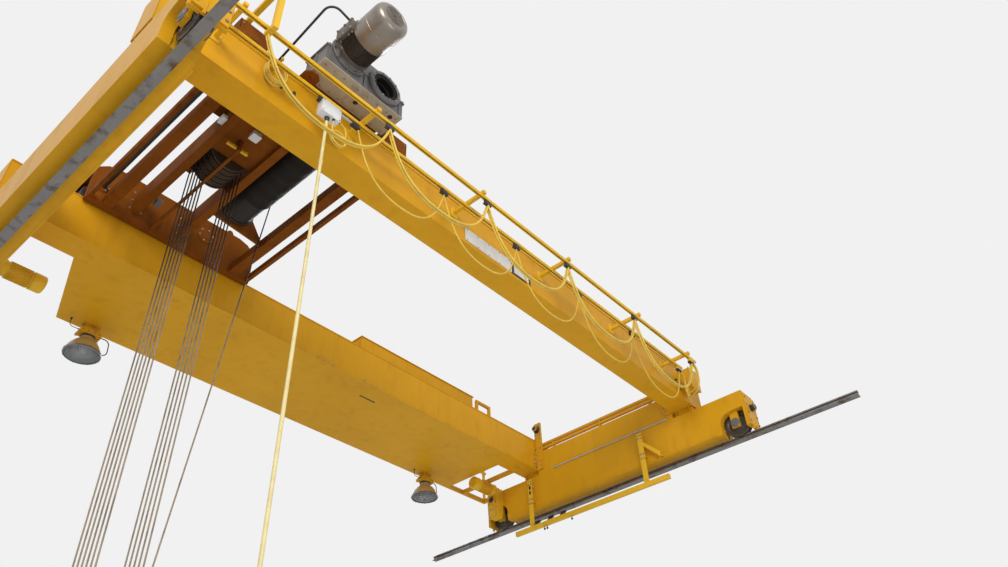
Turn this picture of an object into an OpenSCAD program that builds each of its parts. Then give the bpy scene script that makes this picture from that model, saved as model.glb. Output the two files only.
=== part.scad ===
/* [Runway] */
// Distance between the centre lines of the two runway rails
span = 10100; // [9000:50:12000]
// Length of each runway rail
rail_len = 9000; // [8000:100:12000]
// Height of a runway rail from foot to head
rail_h = 90; // [70:5:120]
// Width of the rail head
rail_head_w = 60; // [50:2:80]
// Width of the rail foot
rail_foot_w = 110; // [90:5:140]

/* [Bridge] */
// Distance between the centre lines of the two girders
gauge = 3400; // [3200:50:3800]
// Width of a girder over its flange plates
girder_w = 400; // [360:10:440]
// Depth of a girder
girder_h = 630; // [560:10:700]
// Thickness of a girder flange plate
flange_t = 16; // [10:2:24]
// Height of the girder underside above the rail foot
girder_z = 880; // [860:10:920]
// Length of an end truck past the centre of each wheel
truck_overhang = 250; // [240:5:400]
// Width of an end truck
truck_w = 390; // [360:10:420]
// Height of the truck underside above the rail foot
truck_z = 130; // [120:5:150]
// Height of the truck top above the rail foot
truck_top = 775; // [740:5:800]
// Distance between the bridge wheels on one truck
wheelbase = 5100; // [4900:50:5600]
// Tread diameter of a bridge wheel
wheel_d = 400; // [360:10:420]
// Width of the service platform beside girder B
platform_w = 1350; // [1000:50:1500]

/* [Trolley] */
// Where the middle of the trolley stands, from the near rail
trolley_x = 1905; // [1905:5:4000]
// Length of the trolley along the girders
trolley_len = 2430; // [2400:10:2600]
// Distance between the trolley axles
axle_base = 2130; // [2000:10:2200]
// Tread diameter of a trolley wheel
tread_d = 300; // [280:10:320]
// Height of a trolley rail bar
bar_h = 60; // [50:5:70]
// Width of a trolley rail bar
bar_w = 60; // [50:5:70]

/* [Hoist] */
// Diameter of the rope drum
drum_d = 456; // [420:4:480]
// Height of the drum axis above the rail foot
drum_z = 1850; // [1840:5:1880]
// Distance from the trolley middle to the drum axis
drum_dx = 425; // [400:5:450]
// Distance from the trolley middle back to the sheave pin
sheave_dx = 259; // [250:1:280]
// Pitch diameter of the rope sheaves
sheave_d = 444; // [420:2:460]
// Distance between neighbouring sheaves
sheave_pitch = 90; // [80:2:96]
// Rope diameter
rope_d = 18; // [14:1:22]
// Height of the hook block's pin above the rail foot
block_z = -3900; // [-6000:50:-1000]

/* [Festoon] */
// Height of the festoon rails above the rail foot
festoon_z = 1230; // [1180:10:1260]
// Distance of the outer festoon rail from the middle of the bridge
outer_y = 2390; // [2300:10:2450]
// Distance of the inner festoon rail from the middle of the bridge
inner_y = 2125; // [2080:5:2150]
// Depth of an outer cable loop
outer_sag = 720; // [500:10:800]
// Depth of an inner cable loop
inner_sag = 740; // [500:10:800]

/* [Hidden] */
$fn = 48;

// Fits and clearances
roll_gap = 0.3;      // wheel tread or roller over its rail
pin_gap = 0.08;      // shaft in its bore
side_gap = 6;        // wheel flange beside a rail
seat_gap = 0.3;      // rope in its groove

// Bridge levels and faces
girder_top = girder_z + girder_h;
bar_top = girder_top + bar_h;
girder_y = gauge / 2;
girder_in = girder_y - girder_w / 2;
girder_out = girder_y + girder_w / 2;
truck_face = truck_w / 2;
girder_x0 = -truck_face + 10;
girder_x1 = span + truck_face - 10;
wheel_z = rail_h + wheel_d / 2 + roll_gap;
wheel_y = wheelbase / 2;
truck_y = wheel_y + truck_overhang;

// Wheel pocket in the end of a truck
pocket_y0 = wheel_y - 250;
pocket_y1 = truck_y - 40;
pocket_top = 530;
bridge_axle_r = 45;
notch_r = 170;
pad_x = 300;
pad_y = 340;

// End ties, stops and top rails between the girders
tie_top = 1230;
tie_t = 120;
stop_y = 1470;
stop_top = 1850;
buffer_z = 1710;

// Platform and what stands on it
platform_t = 80;
platform_x0 = 1390;
platform_skew = 430;
platform_x1 = span - 920;
platform_y1 = girder_out + platform_w;
floor_z = girder_z + platform_t;
rail_post_h = 1100;
cabinet_len = 2840;
cabinet_x1 = platform_x1 - 580;
cabinet_x0 = cabinet_x1 - cabinet_len;
cabinet_y0 = 1990;
cabinet_y1 = 2390;
cabinet_top = 2160;

// Lamps
lamp_x = [1830, platform_x1 - 740];
lamp_y = platform_y1 - 140;
lamp_rim_z = 400;
lamp_rim_r = 245;

// Bridge drives
drive_y = wheel_y;
drive_t = 170;
drive_top_z = truck_top - 15;
drive_motor_l = 560;
drive_motor_r = 105;

// Collector frame
bar_x = span - truck_face - 105;
bar_z = -285;
post_a_y = -840;
post_b_y = 1660;

// Festoon
festoon_x0 = 300;
festoon_x1 = span - 780;
arm_pitch = 1790;
arm_x = concat([for (i = [0 : 4]) festoon_x0 + 130 + i * arm_pitch], [festoon_x1 - 260]);
arm_t = 50;
arm_z = festoon_z + 22;
slot_w = 14;
crail = 44;
crail_t = 4;
neck_w = 8;
roller_r = 14;
carrier_l = 110;
carrier_top = festoon_z - crail / 2 - 6;
carrier_h = 70;
clamp_z = carrier_top - carrier_h;
outer_n = 5;
outer_x0 = 740;
outer_x1 = festoon_x1 - 170;
outer_step = (outer_x1 - outer_x0) / outer_n;
outer_d = 26;
inner_n = 5;
inner_x0 = 2180;
inner_x1 = festoon_x1 - 120;
inner_step = (inner_x1 - inner_x0) / inner_n;
inner_d = 20;
pendant_x = 1750;
pendant_roller_x = [1656, 2134];

// Trolley
tx0 = trolley_x - trolley_len / 2;
tx1 = trolley_x + trolley_len / 2;
axle_x = [trolley_x - axle_base / 2, trolley_x + axle_base / 2];
axle_z = bar_top + tread_d / 2 + roll_gap;
frame_y0 = 1385;
frame_y1 = 1480;
frame_z0 = 1440;
frame_z1 = 2140;
hood_y1 = girder_out - 40;
hood_z0 = bar_top + 25;
hood_z1 = axle_z + 190;
axle_r = 35;

// Hoist
drum_x = trolley_x + drum_dx;
drum_r = drum_d / 2;
drum_y0 = -1260;
drum_y1 = 620;
shaft_r = 75;
sheave_x = trolley_x - sheave_dx;
sheave_z = 1760;
sheave_r = sheave_d / 2;
sheave_or = sheave_r + 28;
groove_r = sheave_r - rope_d / 2 - seat_gap;
upper_n = 5;
lower_n = 6;
pin_r = 60;
anchor_z = sheave_z - 90;
beam_z0 = bar_top;
beam_z1 = beam_z0 + 280;
beam_w = 110;
beam_gap = sheave_or + 35;
end_beam_w = 140;
end_beam_h = 150;
end_beam_in = 200;
deck_t = 12;
deck_y1 = -560;
gear_y0 = -2335;
gear_y1 = -1965;
gear_x = 1780;
gear_z0 = drum_z - 270;
gear_z1 = drum_z + 10;
gear_top = drum_z + 260;
gear_side = 310;
motor_z = 1900;
motor_r = 190;
motor_end = -3130;
bore_r = 140;

// Hook block
cheek_y = (lower_n * sheave_pitch) / 2 + 25;
cheek_t = 30;
block_top = block_z + 300;
block_bot = block_z - 360;
hook_z = block_bot - 470;

// Pendant
pendant_top = 950;
pendant_bot = -4060;
pendant_d = 36;

// A box between two corners
module box(x0, x1, y0, y1, z0, z1) {
  translate([x0, y0, z0]) cube([x1 - x0, y1 - y0, z1 - z0]);
}

// Round bars along Y and X
module ybar(x, z, r, y0, y1) {
  translate([x, y0, z]) rotate([-90, 0, 0]) cylinder(h = y1 - y0, r = r);
}
module xbar(y, z, r, x0, x1) {
  translate([x0, y, z]) rotate([0, 90, 0]) cylinder(h = x1 - x0, r = r);
}

// An outline in the XZ plane, from y0 to y1
module xz_plate(points, y0, y1) {
  translate([0, y1, 0]) rotate([90, 0, 0]) linear_extrude(y1 - y0) polygon(points);
}

// An outline in the YZ plane, from x0 to x1
module yz_plate(points, x0, x1) {
  translate([x0, 0, 0]) rotate([90, 0, 90]) linear_extrude(x1 - x0) polygon(points);
}

// Points of an arc
function arc(cx, cy, r, a0, a1, n) =
  [for (i = [0 : n]) let (a = a0 + (a1 - a0) * i / n) [cx + r * cos(a), cy + r * sin(a)]];

// A runway rail with its foot on z = 0
module rail_bar(x) {
  head = rail_head_w / 2;
  foot = rail_foot_w / 2;
  web = 9;
  pts = [
    [-foot, 0], [foot, 0], [foot, 9], [web, 22], [web, rail_h - 32], [head, rail_h - 26],
    [head, rail_h - 4], [head - 6, rail_h], [-head + 6, rail_h], [-head, rail_h - 4],
    [-head, rail_h - 26], [-web, rail_h - 32], [-web, 22], [-foot, 9]
  ];
  translate([x, rail_len / 2, 0]) rotate([90, 0, 0]) linear_extrude(rail_len) polygon(pts);
}

module near_rail() color("dimgray") rail_bar(0);
module far_rail() color("dimgray") rail_bar(span);

// A box girder: two flange plates and the web box between them
module girder(y) {
  y0 = y - girder_w / 2;
  y1 = y + girder_w / 2;
  lip = 12;
  box(girder_x0, girder_x1, y0, y1, girder_z, girder_z + flange_t);
  box(girder_x0, girder_x1, y0 + lip, y1 - lip, girder_z + flange_t, girder_top - flange_t);
  box(girder_x0, girder_x1, y0, y1, girder_top - flange_t, girder_top);
}

module girder_a() color("goldenrod") girder(-girder_y);
module girder_b() color("goldenrod") girder(girder_y);

// An end truck, with an open wheel pocket at each end and a pad under each girder
module truck(x) {
  notch = concat(
    [[pocket_y1, truck_z - 1], [pocket_y1, 489]],
    [[wheel_y + 30, 489]],
    arc(wheel_y - 60, wheel_z + 10, notch_r, 100, 200, 8),
    [[wheel_y - 240, truck_z - 1]]
  );
  difference() {
    box(x - truck_face, x + truck_face, -truck_y, truck_y, truck_z, truck_top);
    for (s = [-1, 1]) mirror([0, s < 0 ? 1 : 0, 0]) {
      box(x - 75, x + 75, pocket_y0, pocket_y1 + 20, truck_z - 1, pocket_top);
      yz_plate(notch, x - truck_face - 1, x + truck_face + 1);
    }
  }
  for (s = [-1, 1]) mirror([0, s < 0 ? 1 : 0, 0]) {
    box(x - pad_x / 2, x + pad_x / 2, girder_y - pad_y / 2, girder_y + pad_y / 2, truck_top, girder_z);
    box(x - truck_face + 15, x + truck_face - 15, truck_y, truck_y + 25, truck_z + 20, truck_top - 60);
    translate([x, truck_y + 25, 495]) rotate([-90, 0, 0]) cylinder(h = 80, r = 48);
    for (t = [-1, 1]) difference() {
      box(x + t * 100 - 25, x + t * 100 + 25, wheel_y - 70, wheel_y + 70, wheel_z - 75, pocket_top);
      xbar(wheel_y, wheel_z, bridge_axle_r + pin_gap, x + t * 100 - 26, x + t * 100 + 26);
    }
  }
}

module truck_near() color("goldenrod") truck(0);
module truck_far() color("goldenrod") truck(span);

// A double-flanged bridge wheel on its axle; a driven axle reaches the gear case
module bridge_wheel(x, y, reach) {
  half = rail_head_w / 2 + side_gap;
  ybody = wheel_d / 2;
  translate([x, y, wheel_z]) rotate([0, 90, 0]) {
    translate([0, 0, -half]) cylinder(h = 2 * half, r = ybody);
    for (z = [-half - 20, half]) translate([0, 0, z]) cylinder(h = 20, r = ybody + 18);
  }
  xbar(y, wheel_z, bridge_axle_r, x - 130 - (reach < 0 ? 64 : 0), x + 130 + (reach > 0 ? 64 : 0));
}

module bridge_wheel_na() color("gray") bridge_wheel(0, -wheel_y, 0);
module bridge_wheel_nb() color("gray") bridge_wheel(0, wheel_y, 1);
module bridge_wheel_fa() color("gray") bridge_wheel(span, -wheel_y, 0);
module bridge_wheel_fb() color("gray") bridge_wheel(span, wheel_y, -1);

// Tie box, two top angles and two trolley stops at one end, face inboard
module end_tie() {
  box(truck_face - tie_t, truck_face, -girder_in, girder_in, truck_top, tie_top);
  for (z = [tie_top + 50, tie_top + 130]) {
    box(truck_face - 60, truck_face, -girder_in, girder_in, z, z + 12);
    box(truck_face - 12, truck_face, -girder_in, girder_in, z + 12, z + 40);
  }
  for (y = [-1100, 0, 1100]) box(truck_face - 60, truck_face - 12, y - 25, y + 25, tie_top, tie_top + 142);
  for (s = [-1, 1]) mirror([0, s < 0 ? 1 : 0, 0]) {
    box(truck_face, truck_face + 40, stop_y - 120, girder_in, truck_top + 95, stop_top);
    xbar(frame_y0 + 47, buffer_z, 55, truck_face + 40, truck_face + 130);
  }
}

module end_ties() color("goldenrod") {
  end_tie();
  translate([span, 0, 0]) mirror([1, 0, 0]) end_tie();
}

// Square rail bars that the trolley runs on
module trolley_rails() color("gray") {
  for (y = [-girder_y, girder_y])
    box(truck_face + 60, span - truck_face - 60, y - bar_w / 2, y + bar_w / 2, girder_top, bar_top);
}

// Closed floor panel with a skewed near end, and the open frame past its far end
module platform() color("goldenrod") {
  pts = [
    [platform_x0 - platform_skew, girder_out], [platform_x1, girder_out],
    [platform_x1, platform_y1], [platform_x0, platform_y1]
  ];
  translate([0, 0, girder_z]) linear_extrude(platform_t) polygon(pts);
  end_x = span + truck_face - 60;
  box(platform_x1, end_x, platform_y1 - 50, platform_y1, girder_z, floor_z);
  box(end_x, end_x + 50, girder_out, platform_y1, girder_z, floor_z);
  box(platform_x1 + 420, platform_x1 + 470, girder_out, platform_y1 - 50, girder_z, floor_z);
}

// Guard rail along the outer edge of the platform: posts, then two rails and a toe board
post_t = 40;
post_y = platform_y1 - 45;
module handrail_posts() color("gold") {
  x0 = platform_x0 + 20;
  x1 = span + truck_face - 50;
  n = 9;
  for (i = [0 : n]) {
    x = x0 + (x1 - x0) * i / n;
    box(x, x + post_t, post_y, post_y + post_t, floor_z, floor_z + rail_post_h);
  }
}

module handrail_bars() color("gold") {
  x0 = platform_x0 + 20;
  x1 = span + truck_face - 50 + post_t;
  for (z = [floor_z + rail_post_h - post_t, floor_z + rail_post_h / 2])
    box(x0, x1, post_y - post_t, post_y, z, z + post_t);
  box(platform_x0 + 60, platform_x1, post_y - 10, post_y, floor_z, floor_z + 100);
}

// Control cabinet standing on the platform, and a square hoop beside it
module cabinet() color("gold") {
  box(cabinet_x0, cabinet_x1, cabinet_y0, cabinet_y1, floor_z, cabinet_top);
  box(cabinet_x0 - 40, cabinet_x0, cabinet_y0 + 60, cabinet_y1 - 60, floor_z + 700, floor_z + 1100);
  for (x = [cabinet_x1 + 120, cabinet_x1 + 480])
    box(x, x + 50, cabinet_y0, cabinet_y0 + 50, floor_z, cabinet_top - 50);
  box(cabinet_x1 + 120, cabinet_x1 + 530, cabinet_y0, cabinet_y0 + 50, cabinet_top - 50, cabinet_top);
}

// Hanging lamp: bracket, ballast can and bell reflector
module lamp(x) {
  z = lamp_rim_z;
  bell = [
    [0, 0], [lamp_rim_r, 0], [lamp_rim_r, 12], [lamp_rim_r - 25, 70], [180, 150], [120, 205], [85, 225],
    [85, 380], [60, 395], [0, 395]
  ];
  translate([x, lamp_y, z]) rotate_extrude() polygon(bell);
  box(x - 20, x + 20, lamp_y - 20, lamp_y + 20, z + 395, girder_z);
  box(x - 120, x + 120, lamp_y - 35, lamp_y + 35, girder_z - 12, girder_z);
}

module lamps() color("silver") for (x = lamp_x) lamp(x);

// Shaft-mounted gear case with its motor, on the inboard face of a truck
module drive() {
  y = drive_y;
  top = drive_top_z + 90;
  yz_plate([
    [y - 120, wheel_z], [y - 85, wheel_z - 85], [y + 85, wheel_z - 85], [y + 120, wheel_z],
    [y + 130, top - 230], [y + 110, top - 50], [y + 50, top], [y - 50, top], [y - 110, top - 50],
    [y - 130, top - 230]
  ], truck_face, truck_face + drive_t);
  xbar(drive_y, (wheel_z + drive_top_z) / 2 + 35, 75, truck_face + drive_t, truck_face + drive_t + 25);
  xbar(drive_y, wheel_z, 70, truck_face + drive_t, truck_face + drive_t + 25);
  xbar(drive_y, drive_top_z, drive_motor_r, truck_face + drive_t, truck_face + drive_t + drive_motor_l);
}

module bridge_drives() color("gold") {
  drive();
  translate([span, 0, 0]) mirror([1, 0, 0]) drive();
}

// Posts, bar and brace that carry the current collectors
module collector_frame() color("gold") {
  face = span - truck_face;
  for (y = [post_a_y, post_b_y]) {
    box(bar_x, bar_x + 12, y - 50, y + 50, bar_z, 700);
    box(bar_x + 12, face, y - 50, y + 50, 560, 572);
    box(bar_x + 12, face, y - 50, y + 50, 250, 262);
  }
  box(bar_x - 60, bar_x, post_a_y - 460, post_b_y + 360, bar_z - 40, bar_z + 40);
  yz_plate([
    [post_a_y - 50, 520], [post_a_y - 50, 440], [post_a_y - 330, 150], [post_a_y - 360, 220]
  ], bar_x, bar_x + 12);
  box(bar_x + 12, face, post_a_y - 360, post_a_y - 300, 160, 172);
}

module collector(y) {
  box(bar_x - 60, bar_x + 60, y - 25, y + 25, bar_z + 40, bar_z + 75);
  box(bar_x + 20, bar_x + 60, y - 60, y + 60, bar_z + 75, bar_z + 150);
  box(bar_x - 45, bar_x - 5, y - 20, y + 20, bar_z + 75, bar_z + 120);
}

module collectors() color("black")
  for (y = [post_b_y - 110, post_b_y - 420, post_b_y - 700]) collector(y);

// C-shaped festoon rail, open below
module c_rail(y, x0, x1) {
  h = crail / 2;
  s = slot_w / 2;
  i = h - crail_t;
  pts = [
    [-h, -h], [-s, -h], [-s, -i], [-i, -i], [-i, i], [i, i], [i, -i], [s, -i], [s, -h], [h, -h], [h, h], [-h, h]
  ];
  translate([x0, y, festoon_z]) rotate([90, 0, 90]) linear_extrude(x1 - x0) polygon(pts);
}

// Both festoon rails and the fixed end clamps
module festoon_rails() color("gold") {
  for (y = [-outer_y, -inner_y]) c_rail(y, festoon_x0, festoon_x1);
  for (c = [[outer_x1, outer_y], [inner_x1, inner_y]])
    box(c[0] - 55, c[0] + 55, -c[1] - 22, -c[1] + 22, clamp_z, festoon_z - crail / 2);
}

// Arms from girder A that carry the rails, each on a foot plate
module festoon_arms() color("gold") {
  foot_t = 12;
  web_y = -girder_out + foot_t;
  for (x = arm_x) {
    box(x - arm_t / 2, x + arm_t / 2, -outer_y - 50, web_y, arm_z, arm_z + arm_t);
    box(x - 60, x + 60, web_y - foot_t, web_y, arm_z - 60, arm_z + 110);
  }
}

// Sliding cable carrier: roller in the rail, neck and saddle
module carrier(x, y) {
  roller_z = festoon_z - crail / 2 + crail_t + roller_r + roll_gap;
  for (dx = [-35, 35]) {
    ybar(x + dx, roller_z, roller_r, y - 13, y + 13);
    box(x + dx - 12, x + dx + 12, y - neck_w / 2, y + neck_w / 2, carrier_top - 4, roller_z);
  }
  box(x - carrier_l / 2, x + carrier_l / 2, y - 26, y + 26, clamp_z, carrier_top);
}

module outer_carrier(k) color("black") carrier(outer_x0 + k * outer_step, -outer_y);
module inner_carrier(k) color("black") carrier(inner_x0 + k * inner_step, -inner_y);
module outer_carrier_1() outer_carrier(1);
module outer_carrier_2() outer_carrier(2);
module outer_carrier_3() outer_carrier(3);
module outer_carrier_4() outer_carrier(4);
module inner_carrier_1() inner_carrier(1);
module inner_carrier_2() inner_carrier(2);
module inner_carrier_3() inner_carrier(3);
module inner_carrier_4() inner_carrier(4);

// Loops that hang from carrier to carrier, deepest in their middles
ring_n = 15;
function loops(x0, step, n, y, sag, top) = [
  for (k = [0 : n - 1]) for (i = [(k == 0 ? 0 : 1) : ring_n - 1])
    let (t = i / (ring_n - 1), u = abs(2 * t - 1))
    [x0 + step * (k + t - 0.06 * sin(360 * t)), y, top - sag * (1 - pow(u, 2.2))]
];

// A round tube through the points of a path
sides = 8;
function unit(v) = v / norm(v);
function tangent(p, i) = unit(p[min(i + 1, len(p) - 1)] - p[max(i - 1, 0)]);
function ring(p, i, r, side) =
  let (t = tangent(p, i), b = unit(cross(t, side)), n = cross(b, t))
  [for (k = [0 : sides - 1]) p[i] + r * (cos(360 * k / sides) * n + sin(360 * k / sides) * b)];
module tube(p, r, side = [0, 1, 0]) {
  last = len(p) - 1;
  pts = [for (i = [0 : last]) each ring(p, i, r, side)];
  faces = concat(
    [[for (k = [sides - 1 : -1 : 0]) k]],
    [for (i = [0 : last - 1]) for (k = [0 : sides - 1])
      [i * sides + k, i * sides + (k + 1) % sides, (i + 1) * sides + (k + 1) % sides, (i + 1) * sides + k]],
    [[for (k = [0 : sides - 1]) last * sides + k]]
  );
  polyhedron(pts, faces);
}

module festoon_cable_outer() color("khaki")
  for (dy = [-15, 15])
    tube(loops(outer_x0, outer_step, outer_n, -outer_y + dy, outer_sag, clamp_z - outer_d / 2), outer_d / 2);

module festoon_cable_inner() color("khaki")
  tube(loops(inner_x0, inner_step, inner_n, -inner_y, inner_sag, clamp_z - inner_d / 2), inner_d / 2);

// Side frame of the trolley, with a hood over each wheel
module side_frame() {
  c = 150;
  plate = [
    [tx0, frame_z0], [tx1, frame_z0], [tx1, frame_z1 - c], [tx1 - 130, frame_z1 - 40], [tx1 - 270, frame_z1],
    [tx0 + 270, frame_z1], [tx0 + 130, frame_z1 - 40], [tx0, frame_z1 - c]
  ];
  difference() {
    xz_plate(plate, frame_y0, frame_y1);
    ybar(drum_x, drum_z, shaft_r + 20, frame_y0 - 1, frame_y1 + 1);
    for (x = axle_x) ybar(x, axle_z, axle_r + pin_gap, frame_y0 - 1, frame_y1 + 1);
    ybar(trolley_x - 490, 1950, 35, frame_y0 - 1, frame_y1 + 1);
  }
  for (x = axle_x) difference() {
    union() {
      box(x - 190, x + 190, frame_y1, hood_y1, hood_z1, hood_z1 + 16);
      box(x - 190, x + 190, hood_y1 - 16, hood_y1, hood_z0, hood_z1);
    }
    ybar(x, axle_z, axle_r + pin_gap, hood_y1 - 20, hood_y1 + 1);
  }
}

module frame_a() color("saddlebrown") mirror([0, 1, 0]) side_frame();
module frame_b() color("saddlebrown") side_frame();

// Beams across the trolley, and the deck beside the sheaves
module cross_beams() color("saddlebrown") {
  for (x = [sheave_x - beam_gap - beam_w, sheave_x + beam_gap])
    box(x, x + beam_w, -frame_y0, frame_y0, beam_z0, beam_z1);
  end_z = frame_z0 + 10;
  end_x = tx1 - end_beam_in;
  for (m = [0, 1]) translate([m ? 2 * trolley_x : 0, 0, 0]) mirror([m, 0, 0]) {
    box(end_x - end_beam_w, end_x, -frame_y0, frame_y0, end_z, end_z + end_beam_h);
    box(tx1 - 60, tx1 - 10, -frame_y0, frame_y0, end_z, end_z + 90);
  }
  deck_x0 = tx0 + end_beam_in + end_beam_w;
  box(deck_x0, sheave_x + beam_gap + beam_w, -frame_y0, deck_y1, beam_z1, beam_z1 + deck_t);
  box(sheave_x - beam_gap, sheave_x + beam_gap, -frame_y0, deck_y1, beam_z0 + 80, beam_z0 + 80 + deck_t);
}

// Plates, pin and separator bar of the upper sheaves, with the rope anchor
module sheave_frame() color("saddlebrown") {
  y = upper_n * sheave_pitch / 2 + 20;
  plate_t = 25;
  for (y0 = [-y - plate_t, y])
    box(sheave_x - beam_gap, sheave_x + beam_gap, y0, y0 + plate_t, sheave_z - 100, sheave_z + 100);
  ybar(sheave_x, sheave_z, pin_r - pin_gap, -y - 60, y + 60);
  guard_z = sheave_z - sheave_or - 48;
  guard_x = sheave_x - 90;
  deck_z = beam_z0 + 80;
  box(guard_x, guard_x + 40, deck_y1 - 60, frame_y0, guard_z, guard_z + 18);
  box(guard_x, guard_x + 40, deck_y1 - 60, deck_y1 - 40, guard_z + 18, deck_z);
  box(guard_x - 140, guard_x + 150, deck_y1 - 30, deck_y1 - 2, guard_z + 38, guard_z + 78);
  box(guard_x - 20, guard_x + 30, deck_y1 - 30, deck_y1 - 2, guard_z + 78, deck_z);
  anchor_x = sheave_x - sheave_r;
  box(anchor_x - 35, anchor_x + 35, y + plate_t, y + plate_t + 70, anchor_z, anchor_z + 90);
}

// A row of grooved sheaves
module sheaves(n, z, bore) {
  for (i = [0 : n - 1]) translate([sheave_x, (i - (n - 1) / 2) * sheave_pitch - 30, z]) rotate([-90, 0, 0])
    rotate_extrude() polygon([
      [bore, 0], [sheave_or, 0], [sheave_or, 5], [groove_r, 19], [groove_r, 41],
      [sheave_or, 55], [sheave_or, 60], [bore, 60]
    ]);
}

module upper_sheaves() color("dimgray") sheaves(upper_n, sheave_z, pin_r);
module block_sheaves() color("dimgray") sheaves(lower_n, block_z, pin_r);

// Gear case beside girder A, with the open end of its hollow shaft
module gearbox() color("darkgray") {
  difference() {
    union() {
      box(gear_x - gear_side + 10, drum_x + gear_side, gear_y0, gear_y1, gear_z0, gear_z1);
      ybar(drum_x, drum_z, gear_side - 30, gear_y0, gear_y1);
      ybar(gear_x, motor_z, gear_side - 70, gear_y0, gear_y1);
      box(gear_x, drum_x, gear_y0, gear_y1, gear_z1, gear_top);
      ybar(drum_x, drum_z, 205, gear_y0 - 30, gear_y0);
    }
    ybar(drum_x, drum_z, bore_r, gear_y0 - 31, gear_y0 + 200);
    ybar(drum_x, drum_z, shaft_r + pin_gap, gear_y0 + 200, gear_y1 + 1);
  }
  box(gear_x - 240, drum_x + 260, gear_y1, -frame_y1, gear_z0 + 40, gear_z0 + 60);
}

// Foot, body and cowl of the hoist motor
module hoist_motor() color("silver") {
  ybar(gear_x, motor_z, 230, gear_y0 - 40, gear_y0);
  ybar(gear_x, motor_z, 175, motor_end + 330, gear_y0 - 40);
  ybar(gear_x, motor_z, motor_r, motor_end, motor_end + 330);
  box(gear_x - 90, gear_x + 90, motor_end + 380, motor_end + 560, motor_z + 150, motor_z + 260);
}

// Rope drum with its end flanges and shaft
module drum() color([0.12, 0.11, 0.11]) {
  ybar(drum_x, drum_z, drum_r, drum_y0, drum_y1);
  for (y = [drum_y0, drum_y1 - 24]) ybar(drum_x, drum_z, drum_r + 26, y, y + 24);
  ybar(drum_x, drum_z, shaft_r, gear_y0 + 202, drum_y0);
  ybar(drum_x, drum_z, shaft_r - 5, drum_y1, drum_y1 + 170);
}

// Bracket and housing of the outboard drum bearing
module drum_bearing() color("saddlebrown") {
  y0 = drum_y1 + 40;
  x0 = sheave_x + beam_gap + beam_w;
  x1 = tx1 - end_beam_in - end_beam_w;
  top = drum_z + 190;
  difference() {
    union() {
      xz_plate([
        [x0, beam_z0 + 30], [x1, beam_z0 - 50], [x1, beam_z0 + 25], [drum_x + 190, top - 60],
        [drum_x + 90, top], [drum_x - 90, top], [drum_x - 190, top - 60], [x0, beam_z1 - 40]
      ], y0, y0 + 40);
      ybar(drum_x, drum_z, 130, y0, y0 + 110);
    }
    ybar(drum_x, drum_z, shaft_r - 5 + pin_gap, y0 - 1, y0 + 111);
  }
}

// Arm that tows the outer festoon cable
module tow_arm() color("gold") {
  x = outer_x0;
  y = -outer_y - 120;
  z = frame_z1 - 200;
  box(x - 30, x + 30, y - 30, -frame_y1, z, z + 60);
  box(x - 30, x + 30, y - 30, y + 30, clamp_z - 20, z);
  box(x - 30, x + 30, y + 30, -outer_y + 30, clamp_z, clamp_z + 50);
}

// Two trolley wheels on one cross shaft
module wheelset(x) {
  half = bar_w / 2 + side_gap;
  for (s = [-1, 1]) translate([x, s * girder_y, axle_z]) rotate([90, 0, 0]) {
    translate([0, 0, -half]) cylinder(h = 2 * half, r = tread_d / 2);
    for (z = [-half - 14, half]) translate([0, 0, z]) cylinder(h = 14, r = tread_d / 2 + 16);
  }
  ybar(x, axle_z, axle_r, -hood_y1 - 4, hood_y1 + 4);
}

module wheelset_near() color("gray") wheelset(axle_x[0]);
module wheelset_far() color("gray") wheelset(axle_x[1]);

// Rope falls between the upper sheaves and the block, and the lead rope from the drum
module rope(p, q) {
  d = q - p;
  turn = [0, acos(d[2] / norm(d)), atan2(d[1], d[0])];
  translate(p) rotate(turn) cylinder(h = norm(d), r = rope_d / 2, $fn = 16);
}

lead_top = [drum_x + drum_r + rope_d / 2 + 1, 190, drum_z - 25];
module hoist_ropes() color("dimgray") {
  for (j = [0 : lower_n - 1]) {
    y = (j - (lower_n - 1) / 2) * sheave_pitch;
    up_l = j < lower_n - 1 ? y + sheave_pitch / 2 : y + 60;
    top_l = j < lower_n - 1 ? sheave_z : anchor_z - seat_gap;
    rope([sheave_x - sheave_r, y, block_z], [sheave_x - sheave_r, up_l, top_l]);
    if (j > 0) rope([sheave_x + sheave_r, y, block_z], [sheave_x + sheave_r, y - sheave_pitch / 2, sheave_z]);
  }
  rope([sheave_x + sheave_r, -(lower_n - 1) / 2 * sheave_pitch, block_z], lead_top);
}

// Cheek plates, pin and crosshead of the hook block
module hook_block() color("goldenrod") {
  cheek = [
    [sheave_x - 120, block_top], [sheave_x + 120, block_top], [sheave_x + 275, block_z + 120],
    [sheave_x + 275, block_z - 120], [sheave_x + 140, block_bot], [sheave_x - 140, block_bot],
    [sheave_x - 275, block_z - 120], [sheave_x - 275, block_z + 120]
  ];
  for (s = [-1, 1]) xz_plate(cheek, s > 0 ? cheek_y : -cheek_y - cheek_t, s > 0 ? cheek_y + cheek_t : -cheek_y);
  ybar(sheave_x, block_z, pin_r - pin_gap, -cheek_y - 60, cheek_y + 60);
  difference() {
    box(sheave_x - 110, sheave_x + 110, -cheek_y, cheek_y, block_bot + 10, block_bot + 90);
    translate([sheave_x, 0, block_bot]) cylinder(h = 100, r = 46);
  }
}

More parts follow.
